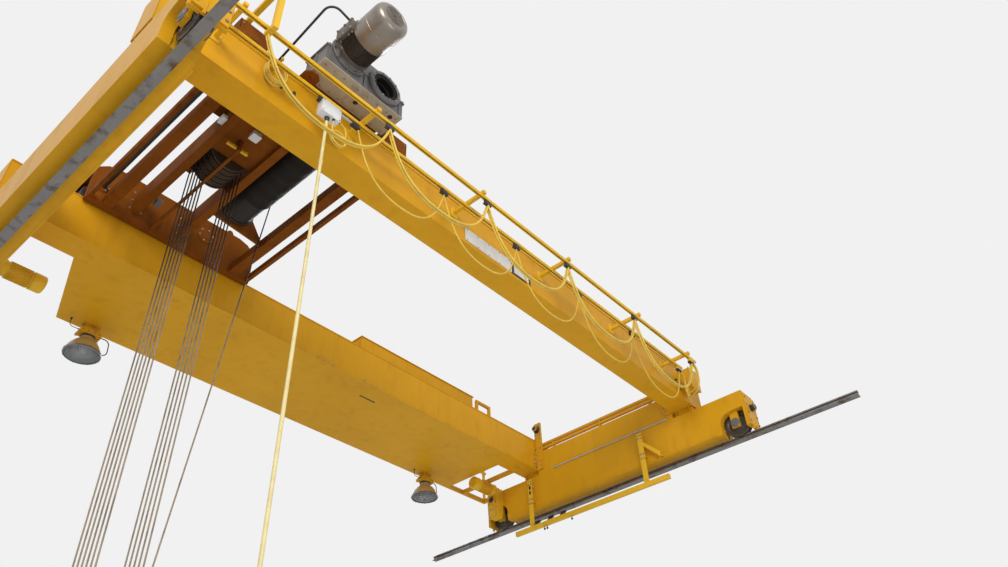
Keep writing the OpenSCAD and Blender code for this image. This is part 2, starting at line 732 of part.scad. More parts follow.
// Swivelling hook: nut, shank and curved hook
module hook() color("dimgray") {
  translate([sheave_x, 0, 0]) {
    translate([0, 0, block_bot + 91]) cylinder(h = 12, r = 75, $fn = 32);
    translate([0, 0, hook_z + 250]) cylinder(h = block_bot + 95 - hook_z - 250, r = 45);
    translate([0, 0, hook_z + 160]) cylinder(h = 110, r = 62);
    rotate([90, 0, 0]) translate([0, hook_z, 0]) {
      for (a = [0 : 3]) rotate([0, 0, 90 - a * 64]) rotate_extrude(angle = -64.5)
        translate([150, 0]) circle(r = 62 - a * 7, $fn = 32);
    }
  }
}

// Sliding carrier of the pendant, with its junction box
module pendant_carrier() color("white") {
  for (x = pendant_roller_x) carrier(x, -inner_y);
  box(pendant_roller_x[0], pendant_roller_x[1], -inner_y - 10, -inner_y + 10, clamp_z + 20, clamp_z + 50);
  box(pendant_x - 120, pendant_x + 140, -inner_y - 50, -inner_y + 50, pendant_top, clamp_z + 20);
  translate([pendant_x, -inner_y, pendant_top - 30]) cylinder(h = 30, r = 26);
}

module pendant_cable() color("khaki")
  tube([for (i = [0 : 40]) [pendant_x, -inner_y, pendant_top - 30 + (pendant_bot - pendant_top + 30) * i / 40]],
       pendant_d / 2, [1, 0, 0]);

// Push-button box at the end of the pendant cable
module pendant_station() color("gold") {
  translate([pendant_x, -inner_y, pendant_bot - 60]) cylinder(h = 60, r = 26);
  box(pendant_x - 50, pendant_x + 50, -inner_y - 40, -inner_y + 40, pendant_bot - 520, pendant_bot - 60);
}

near_rail();
far_rail();
girder_a();
girder_b();
truck_near();
truck_far();
end_ties();
trolley_rails();
platform();
handrail_posts();
handrail_bars();
cabinet();
lamps();
bridge_drives();
collector_frame();
collectors();
festoon_rails();
festoon_arms();
bridge_wheel_na();
bridge_wheel_nb();
bridge_wheel_fa();
bridge_wheel_fb();
frame_a();
frame_b();
cross_beams();
sheave_frame();
upper_sheaves();
gearbox();
hoist_motor();
drum_bearing();
tow_arm();
drum();
wheelset_near();
wheelset_far();
hoist_ropes();
hook_block();
block_sheaves();
hook();
outer_carrier_1();
outer_carrier_2();
outer_carrier_3();
outer_carrier_4();
inner_carrier_1();
inner_carrier_2();
inner_carrier_3();
inner_carrier_4();
pendant_carrier();
festoon_cable_outer();
festoon_cable_inner();
pendant_cable();
pendant_station();
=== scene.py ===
import math
from contextlib import contextmanager

import bpy
from mathutils import Matrix, Vector


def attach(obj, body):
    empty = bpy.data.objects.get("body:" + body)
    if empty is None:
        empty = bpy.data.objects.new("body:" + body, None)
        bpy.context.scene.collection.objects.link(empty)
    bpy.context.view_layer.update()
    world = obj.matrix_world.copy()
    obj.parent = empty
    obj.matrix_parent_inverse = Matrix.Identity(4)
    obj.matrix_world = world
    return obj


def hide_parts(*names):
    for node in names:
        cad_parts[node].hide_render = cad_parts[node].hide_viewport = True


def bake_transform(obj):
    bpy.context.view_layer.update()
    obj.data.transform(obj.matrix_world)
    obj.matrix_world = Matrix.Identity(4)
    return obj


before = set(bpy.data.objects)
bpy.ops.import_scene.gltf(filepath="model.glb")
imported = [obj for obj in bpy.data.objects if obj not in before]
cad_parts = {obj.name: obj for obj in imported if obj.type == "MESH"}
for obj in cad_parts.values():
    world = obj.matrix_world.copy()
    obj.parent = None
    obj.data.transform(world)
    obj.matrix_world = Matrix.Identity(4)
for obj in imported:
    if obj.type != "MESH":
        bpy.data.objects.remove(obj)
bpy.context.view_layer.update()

# Camera, measured in the crane's own frame
CAMERA_PLACE = (-1.400, -7.000, -6.120)
CAMERA_RIGHT = (0.6546, -0.7546, -0.0462)
CAMERA_DOWN = (0.4592, 0.4454, -0.7686)
CAMERA_FORWARD = (0.6005, 0.4819, 0.6380)
SENSOR = 36.0
LENS = 28.46

# Stage
FLOOR_CENTRE = (5.0, 0.0, -7.7)
FLOOR_SIZE = 260.0

# Bridge
NEAR_X, FAR_X = 0.0, 10.1
GIRDER_Y, GIRDER_HALF, GIRDER_Z, GIRDER_TOP = 1.7, 0.200, 0.880, 1.510
GIRDER_X0, GIRDER_X1 = -0.185, 10.285
FLANGE_LIP, FLANGE_T, WELD_R = 0.012, 0.016, 0.005
WEB_A = -(GIRDER_Y + GIRDER_HALF - FLANGE_LIP)
SIGN_Z = (0.945, 1.165)
TRUCK_FACE, TRUCK_TOP, TRUCK_Y = 0.195, 0.775, 2.800
TRUCK_Z, TRUCK_LIP_Y = 0.130, 2.220
WHEEL_Y, WHEEL_Z, WHEEL_R, BRIDGE_AXLE_R = 2.550, 0.2903, 0.200, 0.045
STOP_FACE, BUFFER_Y, BUFFER_Z = 0.235, 1.432, 1.710
LAMP_X, LAMP_Y, LAMP_RIM_Z = (1.830, 8.440), 3.110, 0.400
BAR_X, COLLECTOR_BAR_Z, POST_Y = 9.800, -0.285, (-0.840, 1.660)
PLATFORM_X0, PLATFORM_X1, PLATFORM_SKEW, PLATFORM_Y1 = 1.390, 9.180, 0.430, 3.250
DECK_Z = 0.960
CABINET = ((5.760, 1.990, 0.960), (8.600, 2.390, 2.160))
DRIVE_Z = 0.76

# Trolley
TROLLEY_X0, TROLLEY_X1 = 0.690, 3.120
FRAME_Y0, FRAME_Y1 = 1.385, 1.480
HOOD_Y1, HOOD_Z0, HOOD_Z1 = 1.860, 1.595, 1.910
AXLE_X, AXLE_Z, TREAD_R, SHAFT_END, SHAFT_R = (0.840, 2.970), 1.7203, 0.150, 1.864, 0.0348

# Hoist
DRUM_X, DRUM_Z, DRUM_R = 2.33, 1.85, 0.228
DRUM_Y0, DRUM_Y1 = -1.260, 0.620
GROOVE_PITCH, WRAP_R, LEAD_Y = 0.022, 0.237, 0.190
SHEAVE_X, SHEAVE_Z, SHEAVE_R, SHEAVE_PITCH = 1.646, 1.76, 0.222, 0.09
UPPER_SHEAVES, LOWER_SHEAVES = 5, 6
BLOCK_Z, BLOCK_BOTTOM, HOOK_Z = -3.9, -4.260, -4.730
CHEEK_Y = 0.325
ROPE_R, WOUND_ROPE_R, ROPE_LAY = 0.009, 0.00846, 0.12
GEAR_X0, GEAR_X1, GEAR_Y0, GEAR_Y1, GEAR_Z0 = 1.480, 2.640, -2.335, -1.965, 1.580
MOTOR_X, MOTOR_Z, MOTOR_END = 1.78, 1.9, -3.130

# Festoon cables: first and last clamp, loops, height, depth, radius
CLAMP_Z = 1.132
OUTER = {"y": -2.39, "x0": 0.74, "x1": 9.15, "loops": 5, "sag": 0.72, "radius": 0.013}
INNER = {"y": -2.125, "x0": 2.18, "x1": 9.2, "loops": 5, "sag": 0.74, "radius": 0.010}
OUTER_SPREAD = 0.015
LOOP_POINTS = 25
ARC_STEP = 0.17

# Pendant
PENDANT_X, PENDANT_Y, PENDANT_R = 1.75, -2.125, 0.018
PENDANT_TOP, PENDANT_END = 0.92, -4.06
PENDANT_ROLLERS = (1.656, 2.134)

# Directions
UP, DOWN = (0, 0, 1), (0, 0, -1)
ALONG, BACK = (1, 0, 0), (-1, 0, 0)
OUT_A, OUT_B = (0, -1, 0), (0, 1, 0)
SIDES = (("a", -1), ("b", 1))


# Modelling helpers

def clear():
    """Leaves edit mode with nothing selected."""
    if bpy.context.mode != "OBJECT":
        bpy.ops.object.mode_set(mode="OBJECT")
    bpy.ops.object.select_all(action="DESELECT")


def take(obj):
    """Makes one object the only selected one, and the active one."""
    clear()
    obj.select_set(True)
    bpy.context.view_layer.objects.active = obj


def settle():
    """Puts the active object's place, turn and size into its mesh."""
    bpy.ops.object.transform_apply(location=True, rotation=True, scale=True)
    return bpy.context.object


@contextmanager
def edited(obj, action="SELECT"):
    """Edit mode on one object, with all of its mesh selected or deselected first."""
    take(obj)
    bpy.ops.object.mode_set(mode="EDIT")
    bpy.ops.mesh.select_all(action=action)
    yield
    bpy.ops.object.mode_set(mode="OBJECT")


def merged(obj, gap=0.00001):
    """Merges doubled points and turns every face outwards."""
    with edited(obj):
        bpy.ops.mesh.remove_doubles(threshold=gap)
        bpy.ops.mesh.normals_make_consistent(inside=False)
    return obj


def block(low, high, bevel=0.0, segments=1):
    """A box between two opposite corners, its edges rounded by bevel."""
    clear()
    corners = list(zip(low, high))
    low, high = Vector([min(pair) for pair in corners]), Vector([max(pair) for pair in corners])
    bpy.ops.mesh.primitive_cube_add(size=1, location=(low + high) / 2)
    bpy.context.object.scale = high - low
    obj = settle()
    if bevel:
        with edited(obj):
            bpy.ops.mesh.bevel(offset=bevel, segments=segments, affect="EDGES")
    return obj


def turned(base, axis, profile, sides=32):
    """A turned part: rings of (distance along the axis, radius), closed at both ends."""
    clear()
    base, axis = Vector(base), Vector(axis).normalized()
    turn = axis.to_track_quat("Z", "Y").to_euler()
    along, radius = profile[0]
    bpy.ops.mesh.primitive_circle_add(
        vertices=sides, radius=radius, fill_type="NGON", location=base + axis * along, rotation=turn
    )
    obj = settle()
    with edited(obj):
        for distance, wide in profile[1:]:
            step = axis * (distance - along)
            bpy.ops.mesh.extrude_region_move(TRANSFORM_OT_translate={"value": step})
            grow = wide / radius
            bpy.ops.transform.resize(value=(grow, grow, grow), center_override=base + axis * distance)
            along, radius = distance, wide
        bpy.ops.mesh.select_all(action="SELECT")
        bpy.ops.mesh.normals_make_consistent(inside=False)
    return obj


def hollow(base, axis, profile, sides=32):
    """A turned ring: its profile closes on itself, with no end faces."""
    obj = turned(base, axis, profile + [profile[0]], sides)
    with edited(obj, "DESELECT"):
        bpy.ops.mesh.select_mode(type="FACE")
    for face in obj.data.polygons:
        face.select = len(face.vertices) > 4
    bpy.ops.object.mode_set(mode="EDIT")
    bpy.ops.mesh.delete(type="ONLY_FACE")
    bpy.ops.mesh.select_mode(type="VERT")
    return merged(obj)


def rod(start, end, radius, sides=16, chamfer=0.0):
    """A round bar from one point to another."""
    start, end = Vector(start), Vector(end)
    length = (end - start).length
    profile = [(0, radius), (length, radius)]
    if chamfer:
        small = radius - chamfer
        profile = [(0, small), (chamfer, radius), (length - chamfer, radius), (length, small)]
    return turned(start, end - start, profile, sides)


def tube(points, radius, sides=8, swell=None, gap=0.00001):
    """A tube along a line of points, closed at both ends; swell holds its radius at each point."""
    clear()
    curve = bpy.data.curves.new("tube", "CURVE")
    curve.dimensions = "3D"
    curve.bevel_depth = radius
    curve.bevel_resolution = sides // 4 - 1
    curve.use_fill_caps = True
    line = curve.splines.new("POLY")
    line.points.add(len(points) - 1)
    for place, point, wide in zip(line.points, points, swell or [1.0] * len(points)):
        place.co = (*point, 1)
        place.radius = wide
    obj = bpy.data.objects.new("tube", curve)
    bpy.context.collection.objects.link(obj)
    take(obj)
    bpy.ops.object.convert(target="MESH")
    return merged(bpy.context.object, gap)


def torus(centre, turn, wide, wire, sides, wire_sides):
    """A round ring of wire."""
    clear()
    bpy.ops.mesh.primitive_torus_add(
        location=centre, rotation=turn, major_radius=wide, minor_radius=wire, major_segments=sides,
        minor_segments=wire_sides
    )
    return settle()


def apply(obj, kind, **settings):
    """Adds one modifier and applies it."""
    take(obj)
    modifier = obj.modifiers.new(kind.lower(), kind)
    for name, value in settings.items():
        setattr(modifier, name, value)
    bpy.ops.object.modifier_apply(modifier=modifier.name)


def cut(obj, point, normal):
    """Cuts off what lies beyond a plane and closes the cut."""
    with edited(obj):
        bpy.ops.mesh.bisect(plane_co=point, plane_no=normal, use_fill=True, clear_outer=True)
    return obj


def joined(parts):
    """Joins several objects into one mesh."""
    take(parts[0])
    for part in parts[1:]:
        part.select_set(True)
    if len(parts) > 1:
        bpy.ops.object.join()
    return parts[0]


def copied(obj, matrix):
    """A copy of an object with its own mesh, moved by a matrix."""
    other = obj.copy()
    other.data = obj.data.copy()
    other.data.transform(matrix)
    bpy.context.collection.objects.link(other)
    return other


def arrayed(pattern, matrices):
    """Copies of a pattern, one for each matrix, as one mesh; the pattern itself goes."""
    copies = [copied(pattern, matrix) for matrix in matrices]
    bpy.data.objects.remove(pattern)
    return joined(copies)


def moved(*offset):
    """A matrix that moves by an offset."""
    return Matrix.Translation(offset)


def facing(place, axis):
    """A matrix that turns +Z to an axis and moves the origin to a place."""
    return moved(*place) @ Vector(axis).to_track_quat("Z", "Y").to_matrix().to_4x4()


def both_ends(parts):
    """Parts and their mirror copies at the far end of the bridge."""
    mirror = moved(FAR_X, 0, 0) @ Matrix.Diagonal((-1, 1, 1, 1))
    others = [copied(part, mirror) for part in parts]
    for other in others:
        other.data.flip_normals()
    return parts + others


def far_end(places):
    """The same places at the far end of the bridge."""
    return [(FAR_X - x, y, z) for x, y, z in places]


def spread(first, last, count):
    """Evenly spread values from first to last."""
    return [first + (last - first) * i / (count - 1) for i in range(count)]


def ring_places(centre, radius, count, plane, turn=0.0):
    """Places on a circle round a centre, in the plane of two axes such as xz."""
    places = []
    for i in range(count):
        angle = turn + 2 * math.pi * i / count
        place = list(centre)
        place["xyz".index(plane[0])] += radius * math.cos(angle)
        place["xyz".index(plane[1])] += radius * math.sin(angle)
        places.append(tuple(place))
    return places


def rounded(corners, radius):
    """A line of straight stretches with arcs of one radius at its corners."""
    corners = [Vector(p) for p in corners]
    points = [corners[0]]
    for a, b, c in zip(corners, corners[1:], corners[2:]):
        back, on = (a - b).normalized(), (c - b).normalized()
        turn = math.pi - back.angle(on)
        setback = radius * math.tan(turn / 2)
        centre = b + (back + on).normalized() * radius / math.cos(turn / 2)
        first, last = b + back * setback - centre, b + on * setback - centre
        count = max(3, round(turn / ARC_STEP))
        points += [centre + radius * first.slerp(last, i / count) for i in range(count + 1)]
    points.append(corners[-1])
    return [tuple(p) for p in points]


def done(name, parts, body, material, angle=35.0, replaces=()):
    """Joins the parts of one piece, shades it, and gives it its name, material and body."""
    obj = joined(parts)
    obj.name = name
    obj.data.name = name
    bpy.ops.object.shade_smooth_by_angle(angle=math.radians(angle))
    obj.data.materials.clear()
    obj.data.materials.append(material)
    if body:
        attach(obj, body)
    if replaces:
        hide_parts(*replaces)
    return obj


def bolts(name, places, axis, radius, body):
    """Hex heads on washers at several places, all along one axis, as one piece."""
    washer = turned((0, 0, 0), UP, [(0, 1.9 * radius), (0.3 * radius, 1.9 * radius)], 14)
    sides = [(0, 1.65 * radius), (1.0 * radius, 1.65 * radius), (1.2 * radius, 1.35 * radius)]
    head = turned((0, 0, 0.3 * radius), UP, sides, 6)
    copies = arrayed(joined([washer, head]), [facing(place, axis) for place in places])
    done(name, [copies], body, BOLT_STEEL, 30)


def fins(centre, axis, start, end, inner, outer, count, thick):
    """Cooling fins along a motor's axis, all round it."""
    pattern = block((inner, -thick / 2, start), (outer, thick / 2, end), thick / 4)
    turn = facing(centre, axis)
    return arrayed(pattern, [turn @ Matrix.Rotation(2 * math.pi * i / count, 4, "Z") for i in range(count)])


def grille(centre, axis, radius, rings, spokes, wire):
    """A round wire grille: rings and spokes."""
    parts = [torus((0, 0, 0), (0, 0, 0), radius * (i + 1) / rings, wire, 32, 6) for i in range(rings)]
    for i in range(spokes):
        angle = math.pi * i / spokes
        way = Vector((math.cos(angle), math.sin(angle), 0)) * radius
        parts.append(rod(-way, way, wire, 6))
    obj = joined(parts)
    obj.data.transform(facing(centre, axis))
    return obj


# Shader helpers

def node(tree, kind, inputs=None, **settings):
    """Adds a shader node, with its settings and its input values or links."""
    new = tree.nodes.new("ShaderNode" + kind)
    for name, value in settings.items():
        setattr(new, name, value)
    for name, value in (inputs or {}).items():
        if isinstance(value, bpy.types.NodeSocket):
            tree.links.new(value, new.inputs[name])
        else:
            new.inputs[name].default_value = value
    return new


def ranged(tree, value, low, high, to_low=0.0, to_high=1.0):
    """Maps a value from one range to another, clamped."""
    inputs = {"Value": value, "From Min": low, "From Max": high, "To Min": to_low, "To Max": to_high}
    return node(tree, "MapRange", inputs).outputs["Result"]


def maths(tree, operation, a, b=0.0):
    """One sum on two values."""
    return node(tree, "Math", {0: a, 1: b}, operation=operation).outputs[0]


def mixed(tree, factor, a, b, blend="MIX"):
    """Mixes two colours."""
    return node(tree, "Mix", {0: factor, 6: a, 7: b}, data_type="RGBA", blend_type=blend).outputs[2]


def gray_of(tree, value):
    """A gray of a given level."""
    return node(tree, "CombineColor", {0: value, 1: value, 2: value}).outputs[0]


def here(tree):
    """The object's own coordinates."""
    return node(tree, "TexCoord").outputs["Object"]


def noise(tree, scale, detail=4.0, stretch=None):
    """Noise over the object's own coordinates, stretched along some axes."""
    place = here(tree)
    if stretch:
        place = node(tree, "Mapping", {"Vector": place, "Scale": stretch}).outputs[0]
    return node(tree, "TexNoise", {"Vector": place, "Scale": scale, "Detail": detail}).outputs[0]


def group(name, inputs):
    """A node group with named inputs, which puts out a colour, a roughness and a height."""
    tree = bpy.data.node_groups.new(name, "ShaderNodeTree")
    kinds = {float: "NodeSocketFloat", tuple: "NodeSocketColor"}
    for label, value in inputs.items():
        socket = tree.interface.new_socket(name=label, in_out="INPUT", socket_type=kinds[type(value)])
        socket.default_value = value
    for label, kind in (("Colour", tuple), ("Roughness", float), ("Height", float)):
        tree.interface.new_socket(name=label, in_out="OUTPUT", socket_type=kinds[kind])
    return tree, tree.nodes.new("NodeGroupInput").outputs, tree.nodes.new("NodeGroupOutput").inputs


# Shared effects

def worn_surface():
    """Painted or cast metal with mottling, runs of grime, chips and rubbed edges."""
    tree, given, out = group("worn_surface", {
        "Paint": (0.5, 0.3, 0.05, 1.0), "Grime": (0.05, 0.03, 0.02, 1.0), "Bare": (0.2, 0.15, 0.12, 1.0),
        "Mottle": 0.12, "Grime amount": 0.35, "Chips": 0.3, "Edge wear": 0.5, "Gloss": 0.35, "Waves": 0.3,
    })
    link = tree.links.new
    runs = noise(tree, 1.0, 6.0, (7.0, 7.0, 0.9))
    cloud = noise(tree, 3.2, 5.0)
    fine = noise(tree, 46.0, 6.0)
    peel = noise(tree, 230.0, 2.0)

    shade = ranged(tree, noise(tree, 0.9, 5.0), 0.3, 0.7, -1.0, 1.0)
    shade = maths(tree, "ADD", maths(tree, "MULTIPLY", shade, given["Mottle"]), 1.0)
    paint = mixed(tree, 1.0, given["Paint"], gray_of(tree, shade), "MULTIPLY")

    dirt = maths(tree, "MULTIPLY", ranged(tree, runs, 0.46, 0.72), ranged(tree, cloud, 0.36, 0.68))
    dirt = maths(tree, "MULTIPLY", dirt, given["Grime amount"])
    paint = mixed(tree, dirt, paint, given["Grime"])

    chips = maths(tree, "MULTIPLY", ranged(tree, fine, 0.66, 0.72), given["Chips"])
    flat = node(tree, "NewGeometry").outputs["Normal"]
    round_edge = node(tree, "Bevel", {"Radius": 0.006}, samples=4).outputs[0]
    turn = node(tree, "VectorMath", {0: flat, 1: round_edge}, operation="DOT_PRODUCT").outputs["Value"]
    edge = maths(tree, "MULTIPLY", ranged(tree, turn, 0.99, 0.86), ranged(tree, fine, 0.42, 0.6))
    edge = maths(tree, "MULTIPLY", edge, given["Edge wear"])
    bare = maths(tree, "MAXIMUM", chips, edge)
    link(mixed(tree, bare, paint, given["Bare"]), out["Colour"])

    rough = maths(tree, "ADD", given["Gloss"], maths(tree, "MULTIPLY", dirt, 0.45))
    link(maths(tree, "ADD", rough, maths(tree, "MULTIPLY", bare, 0.25)), out["Roughness"])
    swell = maths(tree, "MULTIPLY", cloud, given["Waves"])
    rise = maths(tree, "ADD", swell, maths(tree, "MULTIPLY", peel, 0.006))
    link(maths(tree, "SUBTRACT", rise, maths(tree, "MULTIPLY", bare, 0.08)), out["Height"])
    return tree


def drawn_steel():
    """Bare rolled steel: fine lines along one axis, a dull film and some rust."""
    tree, given, out = group("drawn_steel", {
        "Steel": (0.3, 0.29, 0.28, 1.0), "Rust": (0.12, 0.05, 0.02, 1.0), "Rust amount": 0.4, "Shine": 0.3,
    })
    link = tree.links.new
    lines = noise(tree, 1.0, 3.0, (3.0, 3.0, 260.0))
    cross = noise(tree, 1.0, 3.0, (260.0, 3.0, 3.0))
    rust = maths(tree, "MULTIPLY", ranged(tree, noise(tree, 6.0, 7.0), 0.5, 0.68), given["Rust amount"])
    scratch = maths(tree, "ADD", maths(tree, "MULTIPLY", lines, 0.5), maths(tree, "MULTIPLY", cross, 0.5))
    shade = ranged(tree, scratch, 0.3, 0.7, 0.8, 1.15)
    steel = mixed(tree, 1.0, given["Steel"], gray_of(tree, shade), "MULTIPLY")
    link(mixed(tree, rust, steel, given["Rust"]), out["Colour"])
    link(maths(tree, "ADD", given["Shine"], maths(tree, "MULTIPLY", rust, 0.5)), out["Roughness"])
    link(maths(tree, "ADD", scratch, maths(tree, "MULTIPLY", rust, 0.6)), out["Height"])
    return tree


def moulded_skin():
    """Rubber and plastic: a faint grain and dust in patches."""
    tree, given, out = group("moulded_skin", {
        "Skin": (0.1, 0.1, 0.1, 1.0), "Dust": (0.3, 0.26, 0.2, 1.0), "Dust amount": 0.3, "Matte": 0.5,
    })
    link = tree.links.new
    dust = maths(tree, "MULTIPLY", ranged(tree, noise(tree, 7.0, 6.0), 0.44, 0.72), given["Dust amount"])
    link(mixed(tree, dust, given["Skin"], given["Dust"]), out["Colour"])
    link(maths(tree, "ADD", given["Matte"], maths(tree, "MULTIPLY", dust, 0.3)), out["Roughness"])
    link(noise(tree, 420.0, 2.0), out["Height"])
    return tree


WORN = worn_surface()
STEEL = drawn_steel()
SKIN = moulded_skin()


# Materials

def surface(name, slot, effect, values, metallic=0.0, bump=0.2, depth=0.001, specular=0.5):
    """A material: one effect group feeding a Principled shader."""
    material = bpy.data.materials.new(name)
    material.use_nodes = True
    tree = material.node_tree
    tree.nodes.clear()
    effect_node = tree.nodes.new("ShaderNodeGroup")
    effect_node.node_tree = effect
    for label, value in values.items():
        effect_node.inputs[label].default_value = (*value, 1.0) if isinstance(value, tuple) else value
    height = effect_node.outputs["Height"]
    relief = node(tree, "Bump", {"Strength": bump, "Distance": depth, "Height": height})
    shader = node(tree, "BsdfPrincipled", {
        "Base Color": effect_node.outputs["Colour"], "Roughness": effect_node.outputs["Roughness"],
        "Metallic": metallic, "Normal": relief.outputs[0], "Specular IOR Level": specular,
    })
    output = tree.nodes.new("ShaderNodeOutputMaterial")
    tree.links.new(shader.outputs[0], output.inputs[0])
    return material


def painted(name, slot, paint, grime, bare, wear, **look):
    """Painted or cast metal; wear is its mottle, grime, chips, edge wear, gloss and waves."""
    labels = ("Mottle", "Grime amount", "Chips", "Edge wear", "Gloss", "Waves")
    values = {"Paint": paint, "Grime": grime, "Bare": bare, **dict(zip(labels, wear))}
    return surface(name, slot, WORN, values, depth=0.004, **look)


def steel(name, slot, bright, rust, amount, shine, **look):
    """Bare steel; amount is its share of rust."""
    values = {"Steel": bright, "Rust": rust, "Rust amount": amount, "Shine": shine}
    return surface(name, slot, STEEL, values, **look)


def moulded(name, slot, skin, dust, amount, matte, **look):
    """Rubber or plastic; amount is its share of dust."""
    values = {"Skin": skin, "Dust": dust, "Dust amount": amount, "Matte": matte}
    return surface(name, slot, SKIN, values, **look)


YELLOW = painted(
    "yellow_paint", "yellow_paint", (0.62, 0.315, 0.012), (0.27, 0.115, 0.010), (0.30, 0.15, 0.04),
    (0.06, 0.26, 0.3, 0.3, 0.34, 0.5), specular=0.09)
BRIGHT_YELLOW = painted(
    "bright_yellow_paint", "yellow_paint", (0.70, 0.42, 0.020), (0.28, 0.14, 0.015), (0.30, 0.18, 0.06),
    (0.08, 0.35, 0.3, 0.45, 0.4, 0.1), specular=0.2)
ORANGE_BROWN = painted(
    "orange_brown_paint", "primer_brown", (0.200, 0.060, 0.007), (0.060, 0.020, 0.005), (0.12, 0.055, 0.020),
    (0.18, 0.6, 0.3, 0.4, 0.55, 0.3), specular=0.03)
SHEAVE_IRON = painted(
    "sheave_iron", "wheel_steel", (0.075, 0.048, 0.032), (0.024, 0.017, 0.012), (0.19, 0.15, 0.12),
    (0.25, 0.6, 0.3, 0.8, 0.4, 0.2), metallic=0.3, specular=0.3)
RIM_IRON = painted(
    "sheave_rim_iron", "wheel_steel", (0.155, 0.112, 0.080), (0.05, 0.035, 0.024), (0.26, 0.21, 0.17),
    (0.2, 0.5, 0.3, 0.6, 0.36, 0.1), metallic=0.4, specular=0.35)
# Wheel iron: dark iron, made nearly black as painted shade.
WHEEL_IRON_SHADED = painted(
    "wheel_iron_painted_shade", "wheel_steel", (0.075, 0.068, 0.062), (0.035, 0.022, 0.014), (0.28, 0.26, 0.24),
    (0.2, 0.6, 0.3, 0.7, 0.4, 0.2), metallic=0.5)
HOOK_IRON = painted(
    "hook_iron", "hook_iron", (0.075, 0.075, 0.078), (0.06, 0.030, 0.014), (0.26, 0.25, 0.24),
    (0.2, 0.55, 0.4, 0.7, 0.45, 0.5), metallic=0.6)
GREASED = painted(
    "greased_black", "greased_black", (0.022, 0.019, 0.017), (0.050, 0.032, 0.020), (0.075, 0.060, 0.050),
    (0.25, 0.6, 0.2, 0.5, 0.4, 0.2), metallic=0.1, specular=0.3)
GEAR_GRAY = painted(
    "gear_case_gray", "gear_gray", (0.135, 0.130, 0.130), (0.045, 0.036, 0.030), (0.30, 0.28, 0.26),
    (0.15, 0.6, 0.3, 0.5, 0.38, 0.2), specular=0.35)
# Beige of the gear case's bottom cover: a painted reflection of light bouncing off the yellow paint.
COVER_PAINTED_BOUNCE = painted(
    "cover_painted_yellow_bounce", "gear_gray", (0.36, 0.31, 0.24), (0.12, 0.09, 0.06), (0.20, 0.17, 0.14),
    (0.12, 0.45, 0.25, 0.4, 0.45, 0.2))
# Near black of the gear case's bore: painted shade in the deep opening.
BORE_PAINTED_SHADE = painted(
    "bore_painted_shade", "greased_black", (0.012, 0.010, 0.009), (0.020, 0.015, 0.011), (0.05, 0.04, 0.03),
    (0.3, 0.6, 0.2, 0.3, 0.55, 0.1), specular=0.1)
SILVER = painted(
    "silver_paint", "motor_silver", (0.275, 0.245, 0.215), (0.11, 0.085, 0.06), (0.36, 0.34, 0.32),
    (0.1, 0.4, 0.2, 0.5, 0.3, 0.2), metallic=0.6)
MOTOR_BLACK = painted(
    "motor_black", "greased_black", (0.040, 0.031, 0.026), (0.10, 0.080, 0.060), (0.14, 0.12, 0.10),
    (0.2, 0.6, 0.25, 0.6, 0.4, 0.1), metallic=0.1, specular=0.35)
MOTOR_BROWN = painted(
    "motor_brown", "greased_black", (0.110, 0.084, 0.066), (0.055, 0.042, 0.032), (0.24, 0.21, 0.18),
    (0.2, 0.6, 0.25, 0.6, 0.4, 0.1), metallic=0.2, specular=0.35)
WHITE_PAINT = painted(
    "white_enamel", "box_white", (0.66, 0.66, 0.64), (0.24, 0.20, 0.14), (0.30, 0.28, 0.25),
    (0.05, 0.4, 0.2, 0.3, 0.3, 0.1))
CREAM_ENAMEL = painted(
    "cream_enamel", "lamp_aluminium", (0.46, 0.34, 0.15), (0.19, 0.12, 0.05), (0.28, 0.24, 0.20),
    (0.08, 0.5, 0.2, 0.4, 0.32, 0.1))
SPUN_ALUMINIUM = painted(
    "spun_aluminium", "lamp_aluminium", (0.205, 0.200, 0.210), (0.10, 0.095, 0.090), (0.26, 0.26, 0.26),
    (0.35, 0.4, 0, 0, 0.3, 0.05), metallic=0.85)
HUB_RED = painted(
    "hub_red", "primer_brown", (0.24, 0.048, 0.016), (0.07, 0.03, 0.015), (0.20, 0.16, 0.13),
    (0.2, 0.5, 0.3, 0.5, 0.42, 0.1), specular=0.25)

RAIL_STEEL = steel(
    "rail_steel", "rail_steel", (0.24, 0.23, 0.22), (0.10, 0.045, 0.02), 0.70, 0.34, metallic=0.85, bump=0.15)
BOLT_STEEL = steel(
    "bolt_steel", "rail_steel", (0.34, 0.33, 0.31), (0.12, 0.055, 0.025), 0.55, 0.36, metallic=0.85,
    bump=0.15)
ROPE_WIRE = steel(
    "rope_wire", "rope_wire", (0.022, 0.015, 0.010), (0.11, 0.072, 0.045), 0.45, 0.44, metallic=0.35,
    bump=0.3)
GREASED_ROPE = steel(
    "greased_rope", "rope_wire", (0.018, 0.014, 0.011), (0.040, 0.024, 0.014), 0.5, 0.55, bump=0.3,
    specular=0.25)

CABLE_YELLOW = moulded(
    "cable_yellow", "cable_yellow", (0.70, 0.49, 0.075), (0.46, 0.33, 0.10), 0.50, 0.50, bump=0.1,
    specular=0.22)
PENDANT_YELLOW = moulded(
    "pendant_cable_yellow", "cable_yellow", (0.72, 0.62, 0.31), (0.48, 0.40, 0.20), 0.50, 0.48, bump=0.1,
    specular=0.35)
BLACK_RUBBER = moulded(
    "black_rubber", "black_plastic", (0.020, 0.020, 0.021), (0.10, 0.085, 0.065), 0.45, 0.52, bump=0.15)
BOX_WHITE = moulded("box_white", "box_white", (0.66, 0.69, 0.72), (0.42, 0.38, 0.30), 0.40, 0.42, bump=0.1)
CONDUIT_GRAY = moulded(
    "conduit_gray", "box_white", (0.42, 0.41, 0.38), (0.30, 0.24, 0.16), 0.45, 0.40, bump=0.1)
STOP_RED = moulded(
    "stop_red", "black_plastic", (0.46, 0.025, 0.018), (0.30, 0.16, 0.12), 0.3, 0.36, bump=0.05)


